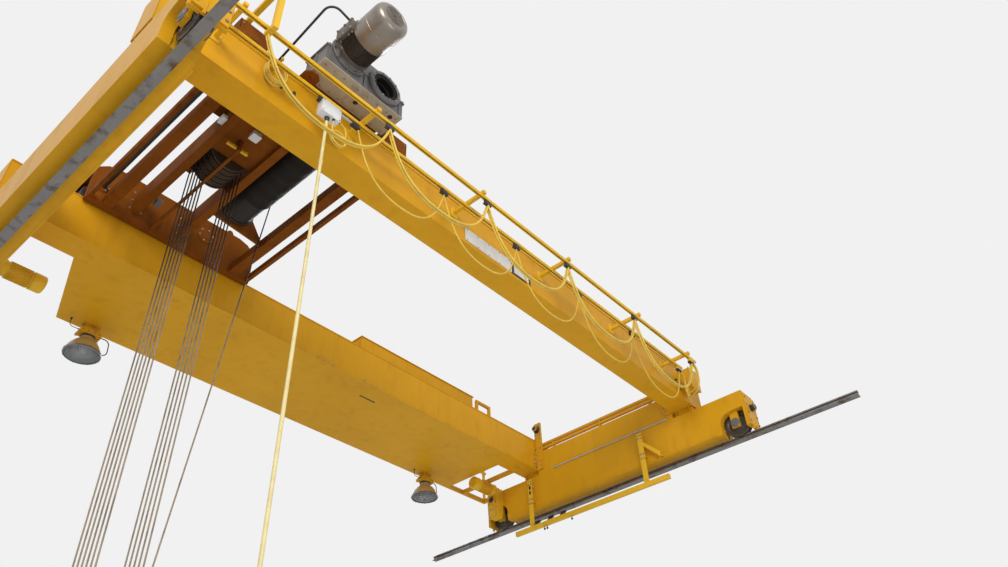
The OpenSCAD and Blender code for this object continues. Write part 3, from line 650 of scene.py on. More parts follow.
def paler_below_painted_light(material, low, high, dusty):
    """Makes a rope's wire paler lower down: painted light on the lower falls and painted shade on their upper
    part under the bridge.
    """
    tree = material.node_tree
    effect = next(n for n in tree.nodes if n.type == "GROUP")
    level = node(tree, "SeparateXYZ", {"Vector": here(tree)}).outputs["Z"]
    dark = tuple(effect.inputs["Steel"].default_value)
    tree.links.new(mixed(tree, ranged(tree, level, high, low), dark, (*dusty, 1)), effect.inputs["Steel"])


def clear_glass():
    """Lamp glass with a thin film of dust."""
    material = bpy.data.materials.new("lamp_glass")
    material.use_nodes = True
    tree = material.node_tree
    film = ranged(tree, noise(tree, 5.0, 3.0), 0.35, 0.7, 0.03, 0.12)
    tint = mixed(tree, film, (0.80, 0.82, 0.83, 1), (0.50, 0.50, 0.50, 1))
    shader = tree.nodes["Principled BSDF"]
    tree.links.new(tint, shader.inputs["Base Color"])
    tree.links.new(film, shader.inputs["Roughness"])
    shader.inputs["Transmission Weight"].default_value = 0.95
    shader.inputs["IOR"].default_value = 1.45
    return material


# The hoist ropes' pale lower part is painted light, and their dark upper part is painted shade.
paler_below_painted_light(ROPE_WIRE, -0.75, 0.35, (0.30, 0.235, 0.165))
LAMP_GLASS = clear_glass()


# Camera, stage and light

def add_camera():
    """The camera at the photograph's viewing angle."""
    data = bpy.data.cameras.new("camera")
    data.sensor_width = SENSOR
    data.sensor_fit = "HORIZONTAL"
    data.lens = LENS
    camera = bpy.data.objects.new("camera", data)
    bpy.context.collection.objects.link(camera)
    columns = (CAMERA_RIGHT, [-v for v in CAMERA_DOWN], [-v for v in CAMERA_FORWARD])
    camera.matrix_world = moved(*CAMERA_PLACE) @ Matrix(columns).transposed().to_4x4()
    bpy.context.scene.camera = camera
    bpy.context.scene.view_settings.view_transform = "Standard"


def add_floor():
    """A pale floor far below, mostly of its own colour to the camera, with the crane's shadow."""
    clear()
    bpy.ops.mesh.primitive_plane_add(size=FLOOR_SIZE, location=FLOOR_CENTRE)
    floor = settle()
    floor.name = "floor"
    material = bpy.data.materials.new("floor_pale")
    material.use_nodes = True
    tree = material.node_tree
    shader = tree.nodes["Principled BSDF"]
    shader.inputs["Base Color"].default_value = (0.80, 0.80, 0.79, 1)
    shader.inputs["Roughness"].default_value = 0.9
    seen = node(tree, "Emission", {"Color": (0.86, 0.86, 0.86, 1), "Strength": 1.0})
    share = maths(tree, "MULTIPLY", node(tree, "LightPath").outputs["Is Camera Ray"], 0.8)
    both = node(tree, "MixShader", {0: share, 1: shader.outputs[0], 2: seen.outputs[0]})
    tree.links.new(both.outputs[0], tree.nodes["Material Output"].inputs[0])
    floor.data.materials.append(material)


def add_sky():
    """A pale sky all round, paler where a camera, gloss or glass ray meets it."""
    world = bpy.data.worlds.new("sky")
    bpy.context.scene.world = world
    world.use_nodes = True
    tree = world.node_tree
    tree.nodes.clear()
    path = node(tree, "LightPath").outputs
    direct = maths(tree, "MAXIMUM", path["Is Camera Ray"], path["Is Glossy Ray"])
    direct = maths(tree, "MAXIMUM", direct, path["Is Transmission Ray"])
    colour = mixed(tree, direct, (0.58, 0.59, 0.61, 1), (0.88, 0.88, 0.88, 1))
    background = node(tree, "Background", {"Color": colour, "Strength": 1.0})
    output = tree.nodes.new("ShaderNodeOutputWorld")
    tree.links.new(background.outputs[0], output.inputs[0])


def lamp(name, place, target, size, power, colour):
    """A square soft lamp that faces a target."""
    data = bpy.data.lights.new(name, "AREA")
    data.size = size
    data.energy = power
    data.color = colour
    obj = bpy.data.objects.new(name, data)
    obj.location = place
    obj.rotation_euler = (Vector(place) - Vector(target)).to_track_quat("Z", "Y").to_euler()
    bpy.context.collection.objects.link(obj)


def add_stage():
    """Floor, sky and three soft lamps."""
    add_floor()
    add_sky()
    lamp("key", (-9.0, -15.0, 6.0), (4.0, -1.0, 1.0), 9.0, 2300.0, (1.0, 0.95, 0.86))
    lamp("low_fill", (3.0, -12.0, -4.6), (4.5, 0.0, 1.0), 5.0, 260.0, (1.0, 0.97, 0.92))
    lamp("rim", (16.0, 9.0, 9.0), (6.0, 0.0, 1.0), 8.0, 1200.0, (0.92, 0.96, 1.0))


# Cables


def slack_cord(name, points, radius, body, material):
    """A free cable along a smooth line of points, with both ends in something."""
    piece = done(name, [tube(points, radius, 12)], body, material, 60)


def loop_line(run, number, offset):
    """The centre line of one hanging loop, from its carrier to the next."""
    step = (run["x1"] - run["x0"]) / run["loops"]
    top = CLAMP_Z - run["radius"]
    points = []
    for i in range(LOOP_POINTS):
        t = i / (LOOP_POINTS - 1)
        x = run["x0"] + step * (number + t - 0.06 * math.sin(2 * math.pi * t))
        z = top - run["sag"] * (1 - abs(2 * t - 1) ** 2.2)
        points.append((x, run["y"] + offset, z))
    return points


def festoon(name, run, offset, node_name):
    """All loops of one festoon cable, hanging one after another between the moving end and the bridge."""
    for number in range(run["loops"]):
        points = loop_line(run, number, offset)
        loop = tube(points, run["radius"], 12)
        piece = done(f"{name}_loop_{number + 1}", [loop], None, CABLE_YELLOW, 60, (node_name,))
        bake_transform(piece)


def festoon_cables():
    """Two cables side by side on the outer rail, and one on the inner."""
    for label, side in SIDES:
        festoon(f"outer_cable_{label}", OUTER, side * OUTER_SPREAD, "festoon_cable_outer")
    festoon("inner_cable", INNER, 0.0, "festoon_cable_inner")


def pendant_cable(on_cable):
    """The cable that hangs from the pendant carrier to the push-button station."""
    points = [(PENDANT_X, PENDANT_Y, z) for z in spread(PENDANT_TOP, PENDANT_END, 41)]
    hanging = tube(points, PENDANT_R, 12)
    piece = done("pendant_cable_yellow", [hanging], "pendant", PENDANT_YELLOW, 60, ("pendant_cable",))


def elbow(x, y, z, way):
    """A cable elbow on girder A's outer web, whose mouth points up or down."""
    back = z - way * 0.045
    foot = [(0, 0.022), (0.008, 0.022), (0.010, 0.016), (WEB_A - y + 0.014, 0.016)]
    mouth = [
        (0, 0.014), (0.004, 0.017), (0.030, 0.017), (0.032, 0.020), (0.048, 0.020), (0.050, 0.016),
        (0.062, 0.012)
    ]
    return [
        turned((x, WEB_A, back), OUT_A, foot, 16), turned((x, y, back - way * 0.014), (0, 0, way), mouth, 16)
    ]


def web_coil():
    """The spare cable coiled on a peg on girder A's web, between two elbows."""
    peg_x, peg_z, peg_reach = 1.136, 1.468, 0.155
    wide, tall, middle = 0.124, 0.176, 1.302
    turns, per_turn, pitch = 3.75, 24, 0.023
    exit_x, exit_z = 1.42, 1.22
    peg = rod((peg_x, WEB_A, peg_z), (peg_x, WEB_A - peg_reach, peg_z), 0.014, 12, 0.003)
    stop_y = WEB_A - peg_reach + 0.003
    low = (peg_x - 0.018, stop_y - 0.009, peg_z - 0.018)
    stop = block(low, (peg_x + 0.018, stop_y, peg_z + 0.032), 0.003)
    done("coil_peg", [peg, stop], "bridge", YELLOW)
    y = WEB_A - 0.028
    first = (peg_x + wide, y, middle - 0.02)
    done("coil_elbows", elbow(*first, 1) + elbow(exit_x, y, exit_z, -1), "bridge", BLACK_RUBBER)
    points = [first]
    for i in range(int(turns * per_turn) + 1):
        angle = 2 * math.pi * i / per_turn
        swell = 1 + 0.03 * math.sin(0.11 * i)
        rise = tall * math.sin(angle) * (1 if math.sin(angle) > 0 else swell)
        points.append((peg_x + wide * swell * math.cos(angle), y - pitch * i / per_turn, middle + rise))
    last = Vector(points[-1])
    corners = (last, last + Vector((0.14, 0.004, -0.004)), (exit_x, y - 0.034, 1.06), (exit_x, y, exit_z))
    tail = rounded(corners, 0.085)
    slack_cord("web_cable_coil", points + tail[1:], 0.010, "bridge", CABLE_YELLOW)


def end_box():
    """The terminal box at the far end of girder A, and the cables that hang from the clamps to the web."""
    front = WEB_A - 0.20
    box = block((9.66, front, 1.06), (9.96, WEB_A, 1.44), 0.008, 2)
    lid = block((9.65, front - 0.015, 1.05), (9.97, front + 0.002, 1.45), 0.006, 2)
    hinges = [rod((9.965, front, z), (9.965, front, z + 0.05), 0.008, 10) for z in (1.12, 1.34)]
    done("end_terminal_box", [box, lid] + hinges, "bridge", YELLOW)
    clamp = 0.05
    starts = (
        (OUTER["x1"] + clamp, OUTER["y"] - 0.012, OUTER["radius"]),
        (OUTER["x1"] + clamp, OUTER["y"] + 0.014, OUTER["radius"]),
        (INNER["x1"] + clamp, INNER["y"], INNER["radius"]),
    )
    rings = [(0, 0.022), (0.010, 0.022), (0.012, 0.018), (0.030, 0.016), (0.040, 0.0145)]
    glands = []
    for number, (x0, y0, radius) in enumerate(starts):
        x1, z1 = 9.50 + 0.06 * number, 1.20 - 0.05 * number
        z0, low = CLAMP_Z + 0.012, 0.80 - 0.05 * number
        glands.append(turned((x1, WEB_A, z1), OUT_A, rings, 16))
        corners = (
            (x0, y0, z0), (x0 + 0.125, y0, z0 - 0.004), (x0 + 0.135, y0 + 0.02, low),
            (x1, WEB_A - 0.155, low + 0.03), (x1, WEB_A - 0.150, z1), (x1, WEB_A - 0.028, z1)
        )
        points = rounded(corners, 4.2 * 2 * radius)
        slack_cord(f"end_cable_{number + 1}", points, radius, "bridge", CABLE_YELLOW)
    done("end_cable_glands", glands, "bridge", BLACK_RUBBER)


def pendant_loop():
    """The spare loop of cable that hangs from the junction box's side gland back to its underside."""
    x, z, radius = 1.915, 0.735, 0.105
    top, turns, pitch = 1.02, 1.5, 0.022
    points = [(x - 0.010, PENDANT_Y, top)]
    for i in range(10):
        angle = math.pi / 2 * (1 - i / 9)
        points.append((x + radius * math.cos(angle), PENDANT_Y, top - radius + radius * math.sin(angle)))
    for i in range(int(turns * 24) + 1):
        angle = -2 * math.pi * i / 24
        y = PENDANT_Y - pitch * i / 24
        points.append((x + radius * math.cos(angle), y, z + radius * math.sin(angle)))
    x_up, y_up = x - radius + 0.004, points[-1][1]
    points += [(x_up - 0.002, y_up, z + 0.05), (x_up, y_up, z + 0.193)]
    slack_cord("pendant_spare_loop", points, 0.009, "pendant", CABLE_YELLOW)
    rings = [(0, 0.017), (0.008, 0.017), (0.010, 0.013), (0.022, 0.0115)]
    done("pendant_loop_gland", [turned((x_up, y_up, 0.953), DOWN, rings, 16)], "pendant", BLACK_RUBBER)


# Festoon hardware

def carrier_pattern():
    """One cable carrier: body, side plates, saddle lips and four rollers, at the origin of its clamp."""
    parts = [block((-0.052, -0.020, 0.012), (0.052, 0.020, 0.068), 0.006, 2)]
    roller = [(0, 0.012), (0.001, 0.0138), (0.007, 0.0138), (0.008, 0.010), (0.0085, 0.004)]
    for side in (-1, 1):
        parts.append(block((-0.034, side * 0.020, 0.006), (0.034, side * 0.026, 0.060), 0.002))
        parts.append(rod((side * 0.053, -0.026, 0.010), (side * 0.053, 0.026, 0.010), 0.010, 12, 0.002))
        for x in (-0.035, 0.035):
            parts.append(turned((x, side * 0.005, 0.0942), (0, side, 0), roller, 20))
            parts.append(block((x - 0.011, -0.0038, 0.062), (x + 0.011, 0.0038, 0.096), 0.001))
    parts.append(block((-0.055, -0.026, 0.0), (0.055, 0.026, 0.010), 0.004, 2))
    return joined(parts)


def carriers():
    """All sliding carriers of both festoons, each on its own body, and the fixed end clamps."""
    pattern = carrier_pattern()
    clamps = []
    for run, label in ((OUTER, "outer"), (INNER, "inner")):
        step = (run["x1"] - run["x0"]) / run["loops"]
        for k in range(1, run["loops"]):
            body = f"{label}_carrier_{k}"
            carrier = copied(pattern, moved(run["x0"] + k * step, run["y"], CLAMP_Z))
            done(f"{label}_cable_carrier_{k}", [carrier], body, BLACK_RUBBER, 35, (body,))
        low = (run["x1"] - 0.057, run["y"] - 0.027, CLAMP_Z - 0.004)
        clamps.append(block(low, (run["x1"] + 0.057, run["y"] + 0.027, CLAMP_Z + 0.030), 0.005, 2))
    done("fixed_end_clamps", clamps, "bridge", BLACK_RUBBER)
    pair = arrayed(pattern, [moved(x, INNER["y"], CLAMP_Z) for x in PENDANT_ROLLERS])
    done("pendant_trolleys", [pair], "pendant", BLACK_RUBBER, 35, ("pendant_carrier",))


def junction_box():
    """The white junction box of the pendant: body, lid, screws, glands and the link bar."""
    x0, x1, y0, y1, z0, z1 = 1.632, 1.888, -2.172, -2.080, 0.952, 1.150
    box = block((x0, y0, z0), (x1, y1, z1), 0.006, 2)
    lid = block((x0 - 0.002, y0 - 0.014, z0 - 0.002), (x1 + 0.002, y0, z1 + 0.002), 0.005, 2)
    done("junction_box_body", [box, lid], "pendant", BOX_WHITE)
    places = [(x, y0 - 0.014, z) for x in (x0 + 0.016, x1 - 0.016) for z in (z0 + 0.016, z1 - 0.016)]
    bolts("junction_box_screws", places, OUT_A, 0.004, "pendant")
    link = block((PENDANT_ROLLERS[0], -2.134, z1), (PENDANT_ROLLERS[1], -2.116, z1 + 0.032), 0.004, 2)
    strap = block((1.69, -2.130, z1 - 0.004), (1.83, -2.120, z1 + 0.006), 0.002)
    done("pendant_link_bar", [link, strap], "pendant", CONDUIT_GRAY)
    main = [(0, 0.030), (0.010, 0.030), (0.012, 0.026), (0.034, 0.025), (0.040, 0.021), (0.062, 0.019)]
    side = [(0, 0.020), (0.010, 0.020), (0.012, 0.016), (0.026, 0.014), (0.036, 0.011)]
    glands = [
        turned((PENDANT_X, PENDANT_Y, z0 + 0.001), DOWN, main, 20),
        turned((x1 - 0.001, PENDANT_Y, 1.02), ALONG, side, 16)
    ]
    done("junction_box_glands", glands, "pendant", BLACK_RUBBER)


def station():
    """The push-button station: moulded body, face, buttons, stop button and cable boot."""
    face_y = -2.160
    body = block((1.702, -2.150, -4.575), (1.798, -2.088, -4.125), 0.016, 3)
    face = block((1.710, face_y, -4.560), (1.790, -2.146, -4.140), 0.006, 2)
    done("station_body", [body, face], "pendant", BRIGHT_YELLOW, 40, ("pendant_station",))
    button = [(0, 0.015), (0.004, 0.015), (0.004, 0.011), (0.009, 0.011), (0.010, 0.009)]
    places = [(PENDANT_X + dx, face_y, z) for dx in (-0.020, 0.020) for z in spread(-4.24, -4.50, 5)]
    done("station_buttons", [turned(place, OUT_A, button, 20) for place in places], "pendant", BLACK_RUBBER)
    stop = [(0, 0.010), (0.004, 0.010), (0.005, 0.019), (0.0085, 0.019), (0.010, 0.014)]
    done("station_stop", [turned((PENDANT_X, face_y, -4.185), OUT_A, stop, 28)], "pendant", STOP_RED)
    rings = [
        (0, 0.034), (0.010, 0.034), (0.014, 0.029), (0.030, 0.028), (0.034, 0.024), (0.048, 0.023),
        (0.064, 0.0195)
    ]
    boot = turned((PENDANT_X, PENDANT_Y, -4.130), UP, rings, 20)
    ring = [(0, 0.019), (0.004, 0.0215), (0.050, 0.0215), (0.054, 0.019)]
    sleeve = turned((PENDANT_X, PENDANT_Y, 0.21), UP, ring, 16)
    return [
        done("station_boot", [boot], "pendant", BLACK_RUBBER),
        done("pendant_cable_sleeve", [sleeve], "pendant", PENDANT_YELLOW)
    ]


# Hoist ropes

def laid_rope(length):
    """A straight rope of six strands laid in a helix, along +Z from the origin."""
    clear()
    bpy.ops.mesh.primitive_circle_add(vertices=12, radius=ROPE_R, fill_type="NOTHING")
    obj = settle()
    with edited(obj, "DESELECT"):
        bpy.ops.mesh.select_mode(type="VERT")
    for i, vert in enumerate(obj.data.vertices):
        vert.select = i % 2 == 0
    bpy.ops.object.mode_set(mode="EDIT")
    bpy.ops.transform.resize(value=(0.78, 0.78, 0.78), center_override=(0, 0, 0))
    turns = length / ROPE_LAY
    steps = int(turns * 8)
    apply(
        obj, "SCREW", axis="Z", angle=2 * math.pi * turns, screw_offset=length, steps=steps,
        render_steps=steps, use_smooth_shade=True
    )
    with edited(obj):
        bpy.ops.mesh.remove_doubles(threshold=0.00001)
        bpy.ops.mesh.fill_holes(sides=0)
        bpy.ops.mesh.select_all(action="SELECT")
        bpy.ops.mesh.normals_make_consistent(inside=False)
    return obj


def lean(start, end, length):
    """A matrix that leans a straight rope of some length from its start to its end."""
    rise = end[2] - start[2]
    slope_x, slope_y = (end[0] - start[0]) / length, (end[1] - start[1]) / length
    return Matrix((
        (1, 0, slope_x, start[0]), (0, 1, slope_y, start[1]), (0, 0, rise / length, start[2]), (0, 0, 0, 1)
    ))


def rope_falls():
    """Every fall between the upper sheaves and the block, and the lead rope from the drum."""
    left, right = SHEAVE_X - SHEAVE_R, SHEAVE_X + SHEAVE_R
    rows = [(j - (LOWER_SHEAVES - 1) / 2) * SHEAVE_PITCH for j in range(LOWER_SHEAVES)]
    falls = []
    for y in rows:
        shift = 0.06 if y == rows[-1] else SHEAVE_PITCH / 2
        falls.append(((left, y, BLOCK_Z), (left, y + shift, SHEAVE_Z)))
        if y != rows[0]:
            falls.append(((right, y, BLOCK_Z), (right, y - SHEAVE_PITCH / 2, SHEAVE_Z)))
    drum_side = (DRUM_X + DRUM_R + ROPE_R + 0.001, LEAD_Y, DRUM_Z - 0.025)
    falls.append(((right, rows[0], BLOCK_Z), drum_side))
    length = SHEAVE_Z - BLOCK_Z
    pattern = laid_rope(length)
    for number, (low, high) in enumerate(falls):
        rope = copied(pattern, lean(low, high, length))
        piece = done(f"rope_fall_{number + 1}", [rope], None, ROPE_WIRE, 60, ("hoist_ropes",))
        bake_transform(piece)
    bpy.data.objects.remove(pattern)


# Sheaves

def sheave_rows():
    """Label, body, height, way of the rope and rows along Y of both sets of sheaves."""
    sets = (("upper", "trolley", SHEAVE_Z, 1, UPPER_SHEAVES), ("block", "block", BLOCK_Z, -1, LOWER_SHEAVES))
    for label, body, z, way, count in sets:
        yield label, body, z, way, [(i - (count - 1) / 2) * SHEAVE_PITCH for i in range(count)]


def rope_wraps():
    """Rope over the upper sheaves and under the block's sheaves."""
    for label, body, z, way, rows in sheave_rows():
        angles = spread(0, math.pi, 33)
        arc = [(SHEAVE_X - SHEAVE_R * math.cos(a), z + way * SHEAVE_R * math.sin(a)) for a in angles]
        parts = [tube([(x, y, height) for x, height in arc], WOUND_ROPE_R, 8) for y in rows]
        done(f"{label}_sheave_rope", parts, body, ROPE_WIRE, 60)


def sheave_details():
    """Keeper plates and bolts at the ends of both sheave pins."""
    boss = [(0, 0.098), (0.010, 0.098), (0.014, 0.090), (0.016, 0.070), (0.016, 0.0605)]
    for label, y, z, body, material in (
        ("upper", 0.270, SHEAVE_Z, "trolley", ORANGE_BROWN),
        ("block", CHEEK_Y, BLOCK_Z, "block", BRIGHT_YELLOW)
    ):
        parts = []
        for _, side in SIDES:
            parts.append(turned((SHEAVE_X, side * y, z), (0, side, 0), boss, 36))
            low = (SHEAVE_X - 0.085, side * (y + 0.012), z + 0.046)
            parts.append(block(low, (SHEAVE_X + 0.085, side * (y + 0.026), z + 0.078), 0.003))
        done(f"{label}_pin_keepers", parts, body, material)
        for tag, side in SIDES:
            places = [(SHEAVE_X + dx, side * (y + 0.026), z + 0.062) for dx in (-0.068, 0.068)]
            bolts(f"{label}_keeper_bolts_{tag}", places, (0, side, 0), 0.008, body)


def sheave_rims():
    """Worn rims on both edges of every sheave."""
    rings = [
        (-0.0040, 0.238), (-0.0040, 0.251), (-0.0025, 0.2525), (0.0025, 0.2525), (0.0040, 0.251),
        (0.0040, 0.238)
    ]
    for label, body, z, _, rows in sheave_rows():
        edges = [y + side * 0.0275 for y in rows for side in (-1, 1)]
        rims = [hollow((SHEAVE_X, y, z), OUT_B, rings, 56) for y in edges]
        done(f"{label}_sheave_rims", rims, body, RIM_IRON, 30)


# Drum

def drum_rings():
    """Rings of the grooved drum with its flanges and shaft ends, along Y."""
    lip, edge = DRUM_R + 0.020, DRUM_R + 0.026
    rings = [
        (DRUM_Y0 - 0.873, 0.072), (DRUM_Y0 - 0.870, 0.075), (DRUM_Y0 - 0.03, 0.075), (DRUM_Y0 - 0.03, 0.130),
        (DRUM_Y0, 0.140), (DRUM_Y0, lip), (DRUM_Y0 + 0.006, edge), (DRUM_Y0 + 0.018, edge),
        (DRUM_Y0 + 0.024, lip)
    ]
    y = DRUM_Y0 + 0.030
    while y < DRUM_Y1 - 0.040:
        rings += [(y, DRUM_R), (y + GROOVE_PITCH / 2, DRUM_R - 0.004)]
        y += GROOVE_PITCH
    return rings + [
        (DRUM_Y1 - 0.024, DRUM_R), (DRUM_Y1 - 0.024, lip), (DRUM_Y1 - 0.018, edge), (DRUM_Y1 - 0.006, edge),
        (DRUM_Y1, lip), (DRUM_Y1, 0.120), (DRUM_Y1 + 0.02, 0.110), (DRUM_Y1 + 0.02, 0.070),
        (DRUM_Y1 + 0.166, 0.070), (DRUM_Y1 + 0.170, 0.066)
    ]


def rope_drum():
    """The drum with its flange bolts, the rope wound on it and the rope's clamps."""
    drum = turned((DRUM_X, 0, DRUM_Z), OUT_B, drum_rings(), 48)
    done("grooved_drum", [drum], "drum", GREASED, 25, ("drum",))
    for (label, way), y in zip(SIDES, (DRUM_Y0, DRUM_Y1)):
        places = ring_places((DRUM_X, y, DRUM_Z), DRUM_R - 0.035, 12, "xz")
        bolts(f"drum_flange_bolts_{label}", places, (0, way, 0), 0.009, "drum")
    start = DRUM_Y0 + 0.06
    turns = (LEAD_Y - start) / GROOVE_PITCH
    steps = int(turns * 22)
    points = []
    for i in range(steps + 1):
        angle = -2 * math.pi * turns * (1 - i / steps)
        y = start + GROOVE_PITCH * turns * i / steps
        points.append((DRUM_X + WRAP_R * math.cos(angle), y, DRUM_Z + WRAP_R * math.sin(angle)))
    done("drum_rope", [tube(points, WOUND_ROPE_R, 8)], "drum", GREASED_ROPE, 60)
    low = (-0.022, DRUM_Y0 + 0.035, WRAP_R - 0.008)
    clamp = block(low, (0.022, DRUM_Y0 + 0.085, WRAP_R + 0.016), 0.004)
    spins = [moved(DRUM_X, 0, DRUM_Z) @ Matrix.Rotation(0.5 * k, 4, "Y") for k in range(3)]
    done("rope_clamps", [arrayed(clamp, spins)], "drum", GREASED)


# Hoist gear and motor

def gear_case():
    """Split flange, hub ring, ribs, a near-black bore fill of painted shade, and bolts of the hoist gear
    case.
    """
    front, back = GEAR_Y0, GEAR_Y1
    low = (GEAR_X0 - 0.018, front - 0.018, DRUM_Z - 0.012)
    split = block(low, (GEAR_X1 + 0.018, back + 0.012, DRUM_Z + 0.012), 0.004, 2)
    bore = turned((DRUM_X, front - 0.1, DRUM_Z), OUT_B, [(0, 0.206), (0.6, 0.206)], 48)
    apply(split, "BOOLEAN", object=bore, operation="DIFFERENCE", solver="EXACT")
    bpy.data.objects.remove(bore)
    ring = hollow((DRUM_X, front, DRUM_Z), OUT_A, [
        (0, 0.206), (0, 0.242), (0.016, 0.246), (0.034, 0.242), (0.046, 0.232), (0.052, 0.218),
        (0.052, 0.192),
        (0.046, 0.186), (0.034, 0.186), (0.034, 0.206)
    ], 56)
    parts = [split, ring]
    foot = GEAR_Z0 + 0.012
    for x in (GEAR_X0 + 0.05, GEAR_X0 + 0.30, 2.03, GEAR_X1 - 0.06):
        high = (x + 0.007, front + 0.01, DRUM_Z - 0.012)
        parts.append(block((x - 0.007, front - 0.014, foot), high, 0.003))
    for x in (GEAR_X0 - 0.012, GEAR_X1 - 0.002):
        parts.append(block((x, -2.156, foot), (x + 0.014, -2.142, DRUM_Z - 0.01), 0.003))
    done("gear_case_fittings", parts, "trolley", GEAR_GRAY)
    # The bore's inside is near black as painted shade.
    liner = hollow((DRUM_X, front, DRUM_Z), OUT_B, [
        (-0.032, 0.1865), (-0.042, 0.1865), (-0.042, 0.180), (-0.033, 0.150), (-0.030, 0.137), (0.040, 0.134),
        (0.052, 0.112), (0.150, 0.110), (0.156, 0.084), (0.192, 0.084), (0.196, 0.1385), (0.0, 0.1385),
        (-0.0305, 0.1385), (-0.0305, 0.160)
    ], 48)
    done("gear_bore_shade_fill", [liner], "trolley", BORE_PAINTED_SHADE, 30)
    places = [(x, front - 0.009, DRUM_Z + 0.012) for x in (1.50, 1.58, 2.58, 2.625)]
    places += [(x, back + 0.004, DRUM_Z + 0.012) for x in spread(1.52, 2.60, 6)]
    bolts("gear_split_bolts", places, UP, 0.009, "trolley")
    hub = ring_places((DRUM_X, front - 0.051, DRUM_Z), 0.205, 12, "xz", 0.3)
    bolts("gear_hub_bolts", hub, OUT_A, 0.008, "trolley")


def gear_underside():
    """Bottom cover, drain plugs, foot plates and breather of the hoist gear case."""
    front, back, under = GEAR_Y0, GEAR_Y1, GEAR_Z0 - 0.018
    low = (GEAR_X0 - 0.008, front - 0.006, GEAR_Z0 - 0.010)
    panels = [block(low, (GEAR_X1 + 0.008, back, GEAR_Z0 + 0.012), 0.005, 2)]
    for x0, x1 in ((GEAR_X0 + 0.03, 1.95), (1.98, GEAR_X1 - 0.03)):
        panels.append(block((x0, front + 0.035, under), (x1, back - 0.035, GEAR_Z0 - 0.008), 0.004, 2))
    # The cover's beige is a painted reflection of the yellow paint's bounce light.
    done("gear_bottom_cover", panels, "trolley", COVER_PAINTED_BOUNCE)
    plug = [(0, 0.030), (0.005, 0.030), (0.007, 0.026), (0.003, 0.022), (0.003, 0.010)]
    spots = ((2.10, -2.12), (2.36, -2.20), (2.52, -2.26))
    plugs = [turned((x, y, GEAR_Z0 - 0.017), DOWN, plug, 20) for x, y in spots]
    done("gear_drain_plugs", plugs, "trolley", GREASED)
    rows = spread(1.53, 1.93, 4) + spread(2.0, 2.59, 5)
    bolts("gear_cover_bolts", [(x, y, under) for x in rows for y in (-2.285, -2.015)], DOWN, 0.006, "trolley")
    arm_x, pin_y, reach = 1.52, -2.06, -1.49
    arm = block((arm_x - 0.10, -2.115, 1.538), (arm_x + 0.10, reach, 1.560), 0.004)
    for way in (-1, 1):
        cut(arm, (arm_x + way * 0.10, pin_y, 1.55), (way, -1.0, 0))
    feet = [
        block((1.54, -1.962, 1.612), (2.59, reach, 1.618), 0.002),
        arm,
        turned((arm_x, pin_y, 1.538), DOWN, [(0, 0.030), (0.012, 0.028), (0.018, 0.018)], 20),
        block((arm_x - 0.008, -1.962, 1.556), (arm_x + 0.008, reach, 1.612), 0.003)
    ]
    done("gear_foot_plates", feet, "trolley", ORANGE_BROWN)
    rings = [(0, 0.018), (0.012, 0.018), (0.014, 0.026), (0.034, 0.026), (0.040, 0.018), (0.044, 0.006)]
    done("gear_breather", [turned((2.05, -2.15, 2.105), UP, rings, 16)], "trolley", BOLT_STEEL)


def motor():
    """The hoist motor: flange, finned body, collar, rounded cowl and its grille."""
    at = (MOTOR_X, GEAR_Y0, MOTOR_Z)
    flange = turned(at, OUT_A, [
        (0, 0.246), (0.004, 0.250), (0.030, 0.250), (0.034, 0.244), (0.034, 0.214), (0.060, 0.196),
        (0.085, 0.190)
    ], 48)
    done("motor_flange", [flange], "trolley", GEAR_GRAY, 30, ("hoist_motor",))
    places = ring_places((MOTOR_X, GEAR_Y0 - 0.034, MOTOR_Z), 0.232, 10, "xz", 0.2)
    bolts("motor_flange_bolts", places, OUT_A, 0.009, "trolley")
    core = turned(at, OUT_A, [(0.08, 0.196), (0.09, 0.200), (0.36, 0.200), (0.375, 0.194)], 48)
    ribs = fins(at, OUT_A, 0.125, 0.366, 0.190, 0.217, 60, 0.006)
    done("motor_finned_body", [core, ribs], "trolley", MOTOR_BLACK, 30)
    collar = turned(at, OUT_A, [(0.084, 0.205), (0.088, 0.226), (0.118, 0.226), (0.122, 0.205)], 48)
    pad = block((0.192, -0.024, 0.080), (0.236, 0.024, 0.128), 0.006)
    upright = Matrix.Rotation(math.pi / 2, 4, "X")
    turns = [Matrix.Rotation(-angle, 4, "Y") for angle in (0.35, 1.15, 2.0, 2.9, 3.75, 5.3)]
    pads = arrayed(pad, [moved(*at) @ turn @ upright for turn in turns])
    done("motor_collar", [collar, pads], "trolley", MOTOR_BROWN, 30)
    cowl = turned((MOTOR_X, MOTOR_END + 0.440, MOTOR_Z), OUT_A, [
        (0.006, 0.219), (0.0, 0.221), (0.0, 0.2275), (0.004, 0.229), (0.206, 0.229), (0.209, 0.2255),
        (0.214, 0.2255), (0.217, 0.229), (0.345, 0.229), (0.375, 0.225), (0.400, 0.216), (0.420, 0.200),
        (0.432, 0.181), (0.438, 0.162), (0.438, 0.148), (0.434, 0.144), (0.434, 0.134), (0.430, 0.130),
        (0.430, 0.030)
    ], 64)
    done("motor_cowl", [cowl], "trolley", SILVER, 30)
    mesh = grille((MOTOR_X, MOTOR_END + 0.006, MOTOR_Z), OUT_A, 0.130, 9, 3, 0.0026)
    done("motor_grille", [mesh], "trolley", SILVER, 60)
    rings = [(0, 0.020), (0.004, 0.020), (0.007, 0.013)]
    hub = turned((MOTOR_X, MOTOR_END + 0.009, MOTOR_Z), OUT_A, rings, 24)
    done("motor_grille_hub", [hub], "trolley", MOTOR_BLACK)


